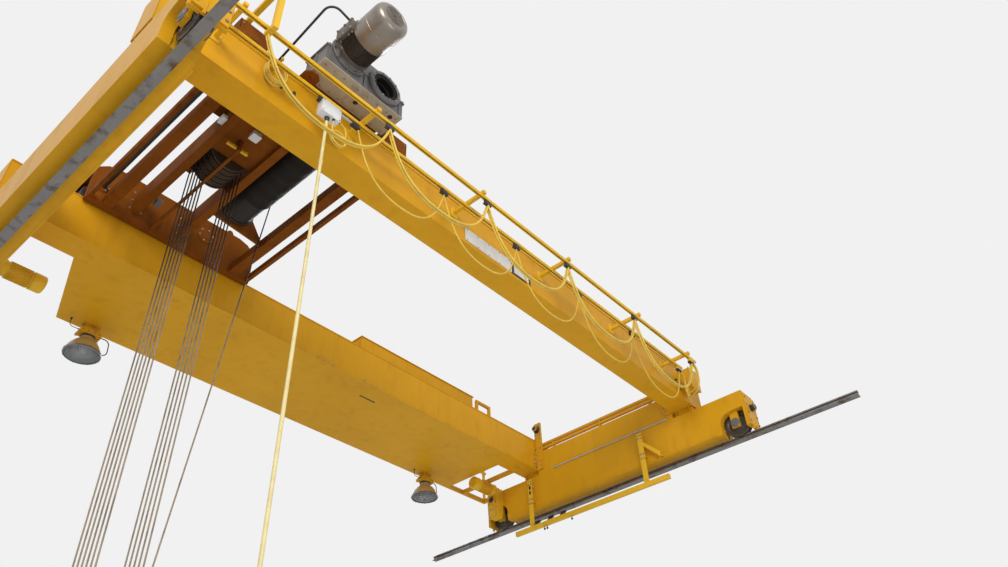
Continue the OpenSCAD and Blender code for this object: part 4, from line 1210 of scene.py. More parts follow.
def motor_box():
    """The motor's terminal box with its screws, glands and the cable to the trolley."""
    x, z = MOTOR_X - 0.262, MOTOR_Z - 0.045
    box = [
        block((x + 0.012, -2.690, z), (MOTOR_X - 0.150, -2.430, z + 0.185), 0.010, 2),
        block((x, -2.698, z - 0.008), (x + 0.020, -2.422, z + 0.193), 0.006, 2),
        block((x + 0.084, -2.672, z + 0.180), (MOTOR_X - 0.060, -2.450, 2.128), 0.010, 2)
    ]
    done("motor_terminal_box", box, "trolley", MOTOR_BROWN)
    side = [(x, y, z + rise) for y in (-2.682, -2.56, -2.438) for rise in (0.008, 0.177)]
    bolts("terminal_box_screws", side, BACK, 0.008, "trolley")
    under = [(x + 0.045, y, z) for y in (-2.66, -2.60, -2.46)]
    bolts("terminal_side_screws", under, DOWN, 0.008, "trolley")
    rings = [(0, 0.028), (0.012, 0.028), (0.014, 0.022), (0.030, 0.021), (0.046, 0.0165)]
    frame_rings = [(0, 0.030), (0.012, 0.030), (0.014, 0.022), (0.034, 0.021), (0.046, 0.0165)]
    glands = [
        turned((1.606, -2.60, 2.110), (-1, 0, 0.245), rings, 20),
        turned((1.30, -FRAME_Y1, 2.00), OUT_A, frame_rings, 20)
    ]
    done("motor_cable_glands", glands, "trolley", BLACK_RUBBER)
    corners = ((1.668, -2.60, 2.095), (1.28, -2.60, 2.19), (1.30, -1.505, 2.00))
    slack_cord("motor_cable", rounded(corners, 0.13), 0.015, "trolley", BLACK_RUBBER)


# Hook and block

def hook_pieces():
    """The forged hook on its nut, with its safety latch."""
    bowl_r, steps = 0.150, 26
    line = [
        (0.0, BLOCK_BOTTOM - HOOK_Z + 0.09, 0.043), (0.0, 0.285, 0.044), (0.0, 0.262, 0.058),
        (0.004, 0.225, 0.063), (0.018, 0.190, 0.062), (0.048, 0.160, 0.061)
    ]
    for i in range(steps + 1):
        share = i / steps
        angle = math.radians(58 - 226 * share)
        radius = 0.061 - 0.003 * share - 0.024 * max(0.0, share - 0.55) / 0.45
        line.append((bowl_r * math.cos(angle), bowl_r * math.sin(angle), radius))
    line += [(-0.152, 0.0, 0.028), (-0.160, 0.030, 0.018)]
    points = [(SHEAVE_X + x, 0, HOOK_Z + z) for x, z, _ in line]
    hook = tube(points, 1.0, 32, [radius for _, _, radius in line], 0.0001)
    done("forged_hook", [hook], "hook", HOOK_IRON, 50, ("hook",))
    rings = [(0, 0.076), (0.010, 0.078), (0.012, 0.070), (0.060, 0.070), (0.066, 0.062)]
    done("hook_nut", [turned((SHEAVE_X, 0, BLOCK_BOTTOM + 0.0915), UP, rings, 8)], "hook", HOOK_IRON)
    x = SHEAVE_X - 0.035
    tongue = block((-0.115, -0.012, -0.006), (0.0, 0.012, 0.006), 0.004, 2)
    tongue.data.transform(moved(x, 0, HOOK_Z + 0.116) @ Matrix.Rotation(math.radians(-38), 4, "Y"))
    parts = [tongue, rod((x, -0.072, HOOK_Z + 0.135), (x, 0.072, HOOK_Z + 0.135), 0.008, 12, 0.002)]
    for _, side in SIDES:
        low = (SHEAVE_X - 0.06, side * 0.060, HOOK_Z + 0.10)
        parts.append(block(low, (SHEAVE_X + 0.02, side * 0.068, HOOK_Z + 0.16), 0.003))
    done("hook_latch", parts, "hook", BOLT_STEEL)


def block_details():
    """Spacer bolts, sheave guards and the collar under the hook block."""
    inner = CHEEK_Y - 0.030
    spots = ((-0.20, 0.16), (0.20, 0.16), (-0.20, -0.17), (0.20, -0.17), (-0.10, 0.265), (0.10, 0.265))
    spots = [(SHEAVE_X + x, BLOCK_Z + z) for x, z in spots]
    bars = [rod((x, -inner, z), (x, inner, z), 0.014, 12) for x, z in spots]
    done("block_spacers", bars, "block", BOLT_STEEL)
    for label, side in SIDES:
        places = [(x, side * CHEEK_Y, z) for x, z in spots]
        bolts(f"block_bolts_{label}", places, (0, side, 0), 0.012, "block")
    guards = []
    for _, side in SIDES:
        x = SHEAVE_X + side * 0.268
        guards.append(block((x - 0.004, -inner, BLOCK_Z - 0.13), (x + 0.004, inner, BLOCK_Z + 0.11), 0.003))
        lower = block((-0.004, -inner, -0.08), (0.004, inner, 0.08), 0.003)
        turn = Matrix.Rotation(math.radians(side * 30), 4, "Y")
        lower.data.transform(moved(SHEAVE_X + side * 0.225, 0, BLOCK_Z - 0.21) @ turn)
        guards.append(lower)
    done("block_sheave_guards", guards, "block", BRIGHT_YELLOW)
    rings = [(0, 0.080), (0.006, 0.080), (0.010, 0.074), (0.010, 0.048)]
    collar = turned((SHEAVE_X, 0, BLOCK_BOTTOM + 0.010), DOWN, rings, 32)
    done("crosshead_collar", [collar], "block", BOLT_STEEL)


# Wheels

def wheel_rings(middle, tread, flange, half, flange_t, hub, axle):
    """Rings of a double-flanged wheel round its axle, along the axle."""
    edge = half + flange_t
    near = [
        (-edge - 0.008, axle), (-edge - 0.008, hub - 0.006), (-edge - 0.004, hub),
        (-edge + 0.006, hub + 0.004),
        (-edge + 0.016, hub + 0.014), (-edge + 0.018, tread - 0.045), (-edge + 0.012, tread - 0.032),
        (-edge + 0.002, tread - 0.026), (-edge, tread - 0.022), (-edge, flange - 0.004),
        (-edge + 0.004, flange),
        (-half - 0.006, flange), (-half, tread)
    ]
    far = [(-x, r) for x, r in reversed(near)]
    return [(middle + x, r) for x, r in near + far]


def bridge_wheels():
    """The four bridge wheels on their axles; those on side b reach inwards to the drives."""
    half, longer, small = 0.130, 0.064, BRIDGE_AXLE_R - 0.004
    rings = wheel_rings(0.0, WHEEL_R, WHEEL_R + 0.018, 0.036, 0.020, 0.085, BRIDGE_AXLE_R)
    for label, x, side, reach in (
        ("na", NEAR_X, -1, 0), ("nb", NEAR_X, 1, 1), ("fa", FAR_X, -1, 0), ("fb", FAR_X, 1, -1)
    ):
        start = -half - (longer if reach < 0 else 0)
        end = half + (longer if reach > 0 else 0)
        first = [(start, small), (start + 0.004, BRIDGE_AXLE_R)]
        last = [(end - 0.004, BRIDGE_AXLE_R), (end, small)]
        wheel = turned((x, side * WHEEL_Y, WHEEL_Z), ALONG, first + rings + last, 64)
        done(f"wheel_{label}_turned", [wheel], f"wheel_{label}", WHEEL_IRON_SHADED, 25, (f"bridge_wheel_{label}",))


def trolley_wheels():
    """Both trolley wheelsets: cross shaft with a wheel near each end."""
    for label, x in zip(("near", "far"), AXLE_X):
        rings = [(-SHAFT_END, 0.031), (-SHAFT_END + 0.004, SHAFT_R)]
        for _, side in SIDES:
            rings += wheel_rings(side * GIRDER_Y, TREAD_R, TREAD_R + 0.016, 0.036, 0.014, 0.068, SHAFT_R)
        rings += [(SHAFT_END - 0.004, SHAFT_R), (SHAFT_END, 0.031)]
        body = f"wheelset_{label}"
        done(f"{body}_turned", [turned((x, 0, AXLE_Z), OUT_B, rings, 56)], body, WHEEL_IRON_SHADED, 25, (body,))


# Trolley

def frame_details():
    """Bearing caps, hood flanges, bolts, ribs and lifting lugs on the trolley's side frames."""
    cap = [(0, 0.088), (0.010, 0.088), (0.014, 0.080), (0.014, 0.048), (0.022, 0.044), (0.022, 0.037)]
    hood_cap = [(0, 0.070), (0.008, 0.070), (0.012, 0.062), (0.014, 0.040), (0.020, 0.037)]
    middle = (FRAME_Y0 + FRAME_Y1 - 0.001) / 2
    for label, side in SIDES:
        parts, places_out, places_in = [], [], []
        for x in AXLE_X:
            parts.append(turned((x, side * FRAME_Y0, AXLE_Z), (0, -side, 0), cap, 28))
            places_in += ring_places((x, side * (FRAME_Y0 - 0.012), AXLE_Z), 0.066, 6, "xz")
            parts.append(turned((x, side * HOOD_Y1, AXLE_Z), (0, side, 0), hood_cap, 28))
            for x0 in (x - 0.188, x + 0.176):
                low = (x0, side * (FRAME_Y1 + 0.19), HOOD_Z0 + 0.16)
                web = block(low, (x0 + 0.012, side * HOOD_Y1, HOOD_Z1), 0.002)
                parts.append(cut(web, (x, side * HOOD_Y1, HOOD_Z0 + 0.10), (0, -side * 0.9, -1)))
            places_out += [(x + dx, side * HOOD_Y1, z) for dx in (-0.15, 0.15) for z in (1.64, 1.86)]
        for x in spread(TROLLEY_X0 + 0.36, TROLLEY_X1 - 0.36, 4):
            low = (x - 0.006, side * FRAME_Y1, 1.60)
            parts.append(block(low, (x + 0.006, side * (FRAME_Y1 + 0.05), 2.08), 0.002))
        for x in (TROLLEY_X0 + 0.42, TROLLEY_X1 - 0.42):
            low = (x - 0.05, side * middle - 0.012, 2.135)
            lug = block(low, (x + 0.05, side * middle + 0.012, 2.23), 0.003)
            for way in (-1, 1):
                cut(lug, (x + way * 0.05, 0, 2.19), (way, 0, 0.8))
            parts.append(lug)
        done(f"side_frame_{label}_fittings", parts, "trolley", ORANGE_BROWN)
        bolts(f"side_frame_{label}_cap_bolts", places_in, (0, -side, 0), 0.007, "trolley")
        bolts(f"side_frame_{label}_hood_bolts", places_out, (0, side, 0), 0.008, "trolley")


def beam_details():
    """End plates and bolts of the cross beams, deck ribs, and the cover on the drum's bearing."""
    inner = FRAME_Y0 - 0.014
    beams = (1.251, 1.931)
    plates = []
    for x in beams:
        for _, side in SIDES:
            plates.append(block((x - 0.045, side * inner, 1.575), (x + 0.155, side * FRAME_Y0, 1.92), 0.003))
    for x in (1.12, 1.50, 1.79):
        plates.append(block((x - 0.006, -1.38, 1.79), (x + 0.006, -0.575, 1.851), 0.002))
    plates.append(block((1.361, -0.564, 1.651), (1.931, -0.268, 1.657), 0.002))
    plates.append(turned((DRUM_X, FRAME_Y0, DRUM_Z), OUT_A, [
        (0, 0.132), (0.010, 0.132), (0.014, 0.126), (0.014, 0.070), (0.020, 0.064), (0.020, 0.020)
    ], 36))
    done("cross_beam_plates", plates, "trolley", ORANGE_BROWN)
    places = ring_places((DRUM_X, FRAME_Y0 - 0.013, DRUM_Z), 0.104, 6, "xz", 0.3)
    bolts("bore_cover_bolts", places, OUT_A, 0.008, "trolley")
    ends = ((1.414, 1.550), (1.576, 1.708))
    bars = [block((x0, -0.593, 1.497), (x1, -0.559, 1.543), 0.004, 2) for x0, x1 in ends]
    done("separator_bar_caps", bars, "trolley", BRIGHT_YELLOW)
    columns = [x + dx for x in beams for dx in (-0.022, 0.132)]
    for label, side in SIDES:
        places = [(x, side * inner, z) for x in columns for z in (1.61, 1.75, 1.89)]
        bolts(f"cross_beam_bolts_{label}", places, (0, -side, 0), 0.008, "trolley")


def deck_boxes():
    """The small boxes and the connector under the trolley's deck."""
    lip, boxes = 0.004, []
    for x0, y0, z0, x1, y1, z1 in (
        (1.185, -0.81, 1.596, 1.315, -0.69, 1.650), (1.575, -0.88, 1.580, 1.690, -0.76, 1.650)
    ):
        boxes.append(block((x0, y0, z0), (x1, y1, z1), 0.006, 2))
        boxes.append(block((x0 - lip, y0 - lip, z0 - 0.010), (x1 + lip, y1 + lip, z0), 0.004))
    done("deck_junction_boxes", boxes, "trolley", BOX_WHITE)
    plug = block((1.40, 0.99, 1.585), (1.48, 1.10, 1.66), 0.008, 2)
    latch = block((1.395, 1.02, 1.60), (1.485, 1.05, 1.64), 0.004)
    done("deck_connector_box", [plug, latch], "trolley", GEAR_GRAY)


# Bridge girders

def girder_details():
    """Weld beads, rail clips, end plates and the bolted gussets at the ties, on both girders."""
    beads, clips, plates, gussets = [], [], [], []
    inner = GIRDER_Y - GIRDER_HALF + FLANGE_LIP
    for _, side in SIDES:
        for face in (-1, 1):
            y = side * GIRDER_Y + face * (GIRDER_HALF - FLANGE_LIP)
            for z in (GIRDER_Z + FLANGE_T, GIRDER_TOP - FLANGE_T):
                beads.append(rod((GIRDER_X0, y, z), (GIRDER_X1, y, z), WELD_R, 8))
            y = side * GIRDER_Y + face * 0.052
            for x in spread(NEAR_X + 0.45, FAR_X - 0.45, 16):
                low = (x - 0.025, y - 0.024, GIRDER_TOP)
                clips.append(block(low, (x + 0.025, y + 0.024, GIRDER_TOP + 0.014), 0.003))
        low = (GIRDER_X0 - 0.008, side * GIRDER_Y - 0.196, GIRDER_Z + 0.004)
        plates.append(block(low, (GIRDER_X0, side * GIRDER_Y + 0.196, GIRDER_TOP - 0.004), 0.003))
        low = (TRUCK_FACE, side * inner, GIRDER_Z + 0.05)
        gussets.append(block(low, (TRUCK_FACE + 0.15, side * (inner - 0.012), GIRDER_Z + 0.36), 0.003))
    done("girder_weld_beads", beads, "bridge", YELLOW, 60)
    done("trolley_rail_clips", clips, "bridge", YELLOW)
    done("girder_end_plates", both_ends(plates), "bridge", YELLOW)
    done("tie_end_gussets", both_ends(gussets), "bridge", YELLOW)
    web = [(TRUCK_FACE + dx, GIRDER_Z + dz) for dx in (0.04, 0.10) for dz in (0.10, 0.20, 0.30)]
    for label, side in SIDES:
        places = [(x, side * (inner - 0.012), z) for x, z in web]
        bolts(f"tie_end_bolts_{label}", places + far_end(places), (0, -side, 0), 0.009, "bridge")


def girder_b_marks():
    """The narrow slot plate and the small bolted plates on girder B."""
    y = GIRDER_Y + 0.15
    cover = block((5.70, y - 0.012, GIRDER_Z - 0.004), (6.027, y + 0.012, GIRDER_Z), 0.001)
    done("slot_cover", [cover], "bridge", GREASED)
    y = GIRDER_Y - GIRDER_HALF
    strips, places = [], []
    for x0, x1 in ((4.554, 4.895), (5.491, 5.893)):
        strips.append(block((x0, y - 0.010, GIRDER_Z + 0.001), (x1, y, GIRDER_Z + 0.05), 0.002))
        places += [(x, y - 0.010, GIRDER_Z + 0.026) for x in spread(x0 + 0.03, x1 - 0.03, 4)]
    done("flange_strips", strips, "bridge", YELLOW)
    bolts("flange_strip_bolts", places, OUT_A, 0.006, "bridge")


def web_sign():
    """Two blank plates on girder A's outer web: a long white one, and a short one on a dark board."""
    x0, x1, y = 4.22, 5.15, WEB_A
    low, high = SIGN_Z
    plates = [
        block((x0, y - 0.005, low), (x1, y, high), 0.0015),
        block((5.205, y - 0.009, low + 0.030), (5.515, y - 0.004, high - 0.030), 0.0015)
    ]
    for z in (low, high - 0.012):
        plates.append(block((x0, y - 0.008, z), (x1, y - 0.002, z + 0.012), 0.002))
    for x in (x0, x1 - 0.012):
        plates.append(block((x, y - 0.008, low), (x + 0.012, y - 0.002, high), 0.002))
    done("sign_plates", plates, "bridge", WHITE_PAINT)
    board = block((x1, y - 0.006, low - 0.004), (5.56, y, high + 0.004), 0.002)
    done("sign_board", [board], "bridge", MOTOR_BLACK)
    places = [(x, y - 0.007, z) for x in spread(x0 + 0.04, x1 - 0.04, 5) for z in (low + 0.018, high - 0.018)]
    places += [(x, y - 0.006, z) for x in (5.178, 5.54) for z in (low + 0.015, high - 0.015)]
    bolts("sign_plate_screws", places, OUT_A, 0.005, "bridge")


# End trucks and ties

def truck_details():
    """Bearing caps, rubber bumpers, rail sweeps, end plate bolts and side ribs on both trucks."""
    cap = [(0, 0.078), (0.010, 0.078), (0.014, 0.070), (0.014, 0.052), (0.022, 0.048)]
    bumper = [
        (0, 0.064), (0.008, 0.064), (0.008, 0.050), (0.014, 0.0515), (0.068, 0.0515), (0.078, 0.045),
        (0.082, 0.030)
    ]
    caps, sweeps, rubbers, ribs = [], [], [], []
    for _, side in SIDES:
        for face in (-1, 1):
            if face < 0 or side < 0:
                caps.append(turned((face * 0.125, side * WHEEL_Y, WHEEL_Z), (face, 0, 0), cap, 24))
        rubbers.append(turned((0, side * (TRUCK_Y + 0.025), 0.495), (0, side, 0), bumper, 32))
        y = side * (TRUCK_Y + 0.01)
        for x in (-0.055, 0.055):
            sweeps.append(block((x - 0.014, y - 0.02, 0.098), (x + 0.014, y + 0.015, 0.30), 0.003))
        for y in (side * GIRDER_Y - 0.12, side * GIRDER_Y + 0.12):
            for x in (-0.152, 0.152):
                ribs.append(block((x - 0.03, y - 0.006, TRUCK_TOP), (x + 0.03, y + 0.006, GIRDER_Z), 0.002))
    done("axle_bearing_caps", both_ends(caps), "bridge", GEAR_GRAY)
    done("rubber_bumpers", both_ends(rubbers), "bridge", BLACK_RUBBER)
    done("rail_sweeps", both_ends(sweeps), "bridge", YELLOW)
    done("girder_seat_ribs", both_ends(ribs), "bridge", YELLOW)
    low = (TRUCK_FACE, -TRUCK_LIP_Y, TRUCK_Z)
    lip = block(low, (TRUCK_FACE + 0.028, TRUCK_LIP_Y, TRUCK_Z + 0.014), 0.003)
    done("truck_lower_lips", both_ends([lip]), "bridge", YELLOW)
    for label, side in SIDES:
        y = side * (TRUCK_Y + 0.025)
        places = [(x, y, z) for x in (-0.15, 0.15) for z in spread(0.22, 0.66, 4)]
        bolts(f"truck_end_bolts_{label}", places + far_end(places), (0, side, 0), 0.010, "bridge")


def stop_buffers():
    """Black rubber sleeves on the trolley buffers, and the bolts of the stop posts."""
    rings = [(0, 0.075), (0.010, 0.075), (0.010, 0.058), (0.07, 0.058), (0.088, 0.050), (0.092, 0.035)]
    rubbers, places = [], []
    for _, side in SIDES:
        y = side * BUFFER_Y
        rubbers.append(turned((STOP_FACE, y, BUFFER_Z), ALONG, rings, 32))
        for reach, heights in ((0.055, (1.52, 1.60, 1.80)), (0.06, (0.93, 1.02, 1.30))):
            places += [(STOP_FACE, y + dy, z) for dy in (-reach, reach) for z in heights]
    done("trolley_buffers", both_ends(rubbers), "bridge", BLACK_RUBBER)
    bolts("stop_post_bolts_near", places, ALONG, 0.009, "bridge")
    bolts("stop_post_bolts_far", far_end(places), BACK, 0.009, "bridge")


def tie_conduit():
    """The gray conduit along the far tie, with its saddles and end fittings."""
    x, z = FAR_X - TRUCK_FACE - 0.014, 0.80
    parts = [rod((x, -1.366, z), (x, 1.10, z), 0.0115, 16)]
    for y in spread(-1.30, 1.05, 6):
        parts.append(block((x - 0.014, y - 0.012, z - 0.022), (x + 0.014, y + 0.012, z + 0.022), 0.006, 2))
    parts += [rod((x, y, z), (x, y + 0.04, z), 0.017, 12, 0.002) for y in (-1.375, 1.09)]
    done("tie_conduit_pipe", parts, "bridge", CONDUIT_GRAY)


# Platform, cabinet and guard rail

def platform_details():
    """Tread bars cut to the platform's slanted end, floor seams and edge stiffeners."""
    bars, near, far = [], 1.93, PLATFORM_Y1 - 0.12
    for x in spread(PLATFORM_X0 - PLATFORM_SKEW + 0.10, PLATFORM_X1 - 0.05, 64):
        slant = max(0.0, PLATFORM_X0 - x) / PLATFORM_SKEW
        high = (x + 0.008, far - (far - near) * slant, DECK_Z + 0.006)
        bars.append(block((x - 0.008, near, DECK_Z), high, 0.002))
    done("platform_tread_bars", bars, "bridge", YELLOW)
    seams, ribs = [], []
    for x in spread(2.9, PLATFORM_X1 - 1.5, 4):
        seams.append(block((x - 0.02, 1.905, DECK_Z), (x + 0.02, PLATFORM_Y1 - 0.02, DECK_Z + 0.004), 0.001))
    done("platform_seams", seams, "bridge", YELLOW)
    for x in spread(1.9, PLATFORM_X1 - 0.3, 7):
        low = (x - 0.004, PLATFORM_Y1, GIRDER_Z + 0.006)
        ribs.append(block(low, (x + 0.004, PLATFORM_Y1 + 0.012, DECK_Z - 0.006), 0.002))
    done("platform_edge_ribs", ribs, "bridge", YELLOW)


def guard_rail_details():
    """Foot plates, bolts and end caps of the guard rail's posts."""
    feet, caps, places = [], [], []
    y, foot_z, cap_z = PLATFORM_Y1 - 0.045, DECK_Z + 0.010, DECK_Z + 1.098
    for x in spread(PLATFORM_X0 + 0.02, FAR_X + TRUCK_FACE - 0.05, 10):
        if x < PLATFORM_X1:
            feet.append(block((x - 0.03, y - 0.035, DECK_Z), (x + 0.07, y + 0.043, foot_z), 0.003))
            places += [(x - 0.015, y - 0.018, foot_z), (x + 0.055, y - 0.018, foot_z)]
        caps.append(block((x - 0.003, y - 0.003, cap_z), (x + 0.043, y + 0.043, cap_z + 0.008), 0.003))
    done("guard_rail_feet", feet, "bridge", BRIGHT_YELLOW)
    done("guard_rail_caps", caps, "bridge", BRIGHT_YELLOW)
    bolts("guard_rail_bolts", places, UP, 0.008, "bridge")


def cabinet_details():
    """Doors, handles, hinges, louvres and lifting eyes of the control cabinet."""
    (left, back, foot), (right, front, top) = CABINET
    doors, hinges, handles, slats, eyes = [], [], [], [], []
    width = (right - left - 0.10) / 4
    for k in range(4):
        x0 = left + 0.05 + k * width
        x1 = x0 + width
        high = (x1 - 0.012, front + 0.018, top - 0.06)
        doors.append(block((x0 + 0.012, front, foot + 0.08), high, 0.006, 2))
        for z in (foot + 0.22, top - 0.24):
            x, y = x0 + 0.018, front + 0.020
            hinges.append(rod((x, y, z), (x, y, z + 0.07), 0.009, 12, 0.002))
        x = x1 - 0.07
        handles.append(block((x - 0.018, front + 0.016, 1.45), (x + 0.018, front + 0.024, 1.61), 0.004, 2))
        handles.append(block((x - 0.010, front + 0.022, 1.47), (x + 0.010, front + 0.042, 1.56), 0.006, 2))
        if k in (0, 3):
            for i in range(8):
                z = foot + 0.16 + 0.03 * i
                high = (x1 - 0.16, front + 0.027, z + 0.014)
                slats.append(block((x0 + 0.16, front + 0.014, z), high, 0.003))
    for x in (left + 0.25, right - 0.25):
        y = (back + front) / 2
        eyes.append(torus((x, y, top + 0.035), (math.pi / 2, 0, 0), 0.030, 0.009, 24, 8))
        eyes.append(rod((x, y, top), (x, y, top + 0.014), 0.026, 16, 0.003))
    low = (left - 0.02, back - 0.02, top - 0.004)
    roof = block(low, (right + 0.02, front + 0.035, top + 0.012), 0.005, 2)
    done("cabinet_doors", doors + slats + [roof], "bridge", YELLOW)
    done("cabinet_hinges", hinges + eyes, "bridge", BOLT_STEEL)
    done("cabinet_handles", handles, "bridge", BLACK_RUBBER)


# Lamps

REFLECTOR = [
    (0.222, 0.086), (0.214, 0.110), (0.196, 0.136), (0.160, 0.172), (0.110, 0.204), (0.060, 0.226),
    (0.016, 0.240), (0.012, 0.246), (0.0, 0.246), (-0.003, 0.240), (0.002, 0.234), (0.014, 0.233),
    (0.060, 0.219), (0.110, 0.197), (0.160, 0.165), (0.196, 0.128), (0.208, 0.070)
]
BOWL = [
    (0.003, 0.2325), (0.060, 0.2175), (0.110, 0.1955), (0.160, 0.1635), (0.196, 0.1265), (0.207, 0.069),
    (0.203, 0.066), (0.192, 0.123), (0.157, 0.160), (0.108, 0.192), (0.059, 0.214), (0.003, 0.229)
]
RIM = [(-0.010, 0.234), (-0.010, 0.247), (-0.006, 0.2495), (0.012, 0.2495), (0.017, 0.244), (0.012, 0.234)]
LENS_RINGS = [
    (-0.024, 0.012), (-0.0235, 0.05), (-0.020, 0.11), (-0.014, 0.165), (-0.006, 0.212), (-0.001, 0.2335),
    (0.003, 0.2335), (0.003, 0.20)
]
BULB = [
    (0.0, 0.020), (0.03, 0.022), (0.05, 0.040), (0.09, 0.058), (0.13, 0.058), (0.16, 0.040), (0.172, 0.014)
]
BALLAST_CAN = [
    (0.212, 0.090), (0.228, 0.092), (0.232, 0.086), (0.246, 0.086), (0.250, 0.096), (0.262, 0.096),
    (0.268, 0.088), (0.350, 0.084), (0.356, 0.092), (0.366, 0.092), (0.374, 0.080), (0.392, 0.056),
    (0.400, 0.034), (0.430, 0.030), (0.436, 0.040), (0.452, 0.040)
]
CAN_COLLAR = [(0.266, 0.084), (0.266, 0.100), (0.290, 0.100), (0.298, 0.084)]


def lamp_head(tag, x, z):
    """A lamp's reflector with its dark bowl, rim, lens, bulb and ballast can."""
    at = (x, LAMP_Y, z)
    done(f"{tag}_reflector", [turned(at, UP, REFLECTOR, 48)], "bridge", CREAM_ENAMEL, 30, ("lamps",))
    done(f"{tag}_bowl", [hollow(at, UP, BOWL, 48)], "bridge", SPUN_ALUMINIUM, 30)
    clips = fins(at, UP, -0.014, 0.022, 0.240, 0.2535, 8, 0.024)
    done(f"{tag}_rim", [hollow(at, UP, RIM, 48), clips], "bridge", SPUN_ALUMINIUM, 30)
    done(f"{tag}_lens", [turned(at, UP, LENS_RINGS, 48)], "bridge", LAMP_GLASS, 40)
    done(f"{tag}_bulb", [turned((x, LAMP_Y, z + 0.205), DOWN, BULB, 24)], "bridge", WHITE_PAINT, 60)
    done(f"{tag}_ballast_can", [turned(at, UP, BALLAST_CAN, 32)], "bridge", CREAM_ENAMEL)
    done(f"{tag}_collar", [hollow(at, UP, CAN_COLLAR, 32)], "bridge", BLACK_RUBBER)


def lamp_bracket(tag, x, z):
    """A lamp's foot plate, pillars and splayed housing under the platform."""
    y, wide, deep = LAMP_Y, 0.155, 0.085
    housing = block((x - wide, y - deep, z + 0.300), (x + wide, y + deep, z + 0.440), 0.006, 2)
    for way in (-1, 1):
        cut(housing, (x + way * wide, y, z + 0.325), (way, 0, 0.7))
        cut(housing, (x, y + way * deep, z + 0.36), (0, way, 0.5))
    parts = [
        housing,
        block((x - 0.13, y - 0.050, GIRDER_Z - 0.012), (x + 0.13, y + 0.050, GIRDER_Z), 0.002),
        block((x - 0.10, y - 0.055, z + 0.438), (x + 0.10, y + 0.055, z + 0.446), 0.002)
    ]
    for _, side in SIDES:
        ear, lip = x + side * 0.062, x + side * 0.135
        high = (ear + 0.006, y + 0.04, GIRDER_Z - 0.010)
        parts.append(block((ear - 0.006, y - 0.04, z + 0.440), high, 0.002))
        parts.append(block((lip - 0.018, y - 0.092, z + 0.296), (lip + 0.018, y + 0.092, z + 0.306), 0.002))
    parts.append(rod((x - 0.078, y, z + 0.458), (x + 0.078, y, z + 0.458), 0.008, 12, 0.002))
    done(f"{tag}_bracket", parts, "bridge", YELLOW)
    places = [(x + dx, y + dy, GIRDER_Z - 0.012) for dx in (-0.108, 0.108) for dy in (-0.030, 0.030)]
    bolts(f"{tag}_bracket_bolts", places, DOWN, 0.007, "bridge")
    front = [(x + dx, y - 0.080, z + 0.335) for dx in (-0.11, -0.04, 0.04, 0.11)]
    bolts(f"{tag}_housing_screws", front, OUT_A, 0.006, "bridge")
    link = rod((x + 0.138, y, z + 0.305), (x + 0.172, y, z + 0.152), 0.0035, 8, 0.001)
    done(f"{tag}_safety_link", [link], "bridge", BOLT_STEEL)


def lamp_cables(tag, x, z):
    """The black cable from a lamp's housing to its reflector, and the thin one from the platform."""
    y = LAMP_Y
    main = [(0, 0.018), (0.014, 0.018), (0.016, 0.014), (0.034, 0.013), (0.044, 0.009)]
    boss = [(0, 0.018), (0.018, 0.016), (0.030, 0.010)]
    side = [(0, 0.014), (0.012, 0.014), (0.014, 0.011), (0.030, 0.010), (0.038, 0.007)]
    top = [(0, 0.015), (0.012, 0.015), (0.014, 0.011), (0.028, 0.010), (0.034, 0.007)]
    glands = [
        turned((x + 0.122, y, z + 0.36), ALONG, main, 16),
        turned((x + 0.200, y, z + 0.100), (1, 0, 0.17), boss, 16),
        turned((x - 0.122, y, z + 0.355), BACK, side, 16),
        turned((x - 0.285, y, GIRDER_Z), DOWN, top, 16)
    ]
    done(f"{tag}_cable_glands", glands, "bridge", BLACK_RUBBER)
    for kind, radius, bend, corners in (
        ("cable", 0.0075, 0.075, ((0.108, 0.360), (0.300, 0.360), (0.318, 0.118), (0.214, 0.1025))),
        ("feed", 0.005, 0.050, ((-0.285, 0.454), (-0.285, 0.352), (-0.108, 0.355)))
    ):
        points = rounded([(x + dx, y, z + dz) for dx, dz in corners], bend)
        slack_cord(f"{tag}_{kind}", points, radius, "bridge", BLACK_RUBBER)


def hanging_lamps():
    """Both lamps under the platform."""
    for number, x in enumerate(LAMP_X):
        for part in (lamp_head, lamp_bracket, lamp_cables):
            part(f"lamp_{number + 1}", x, LAMP_RIM_Z)


# Bridge drives

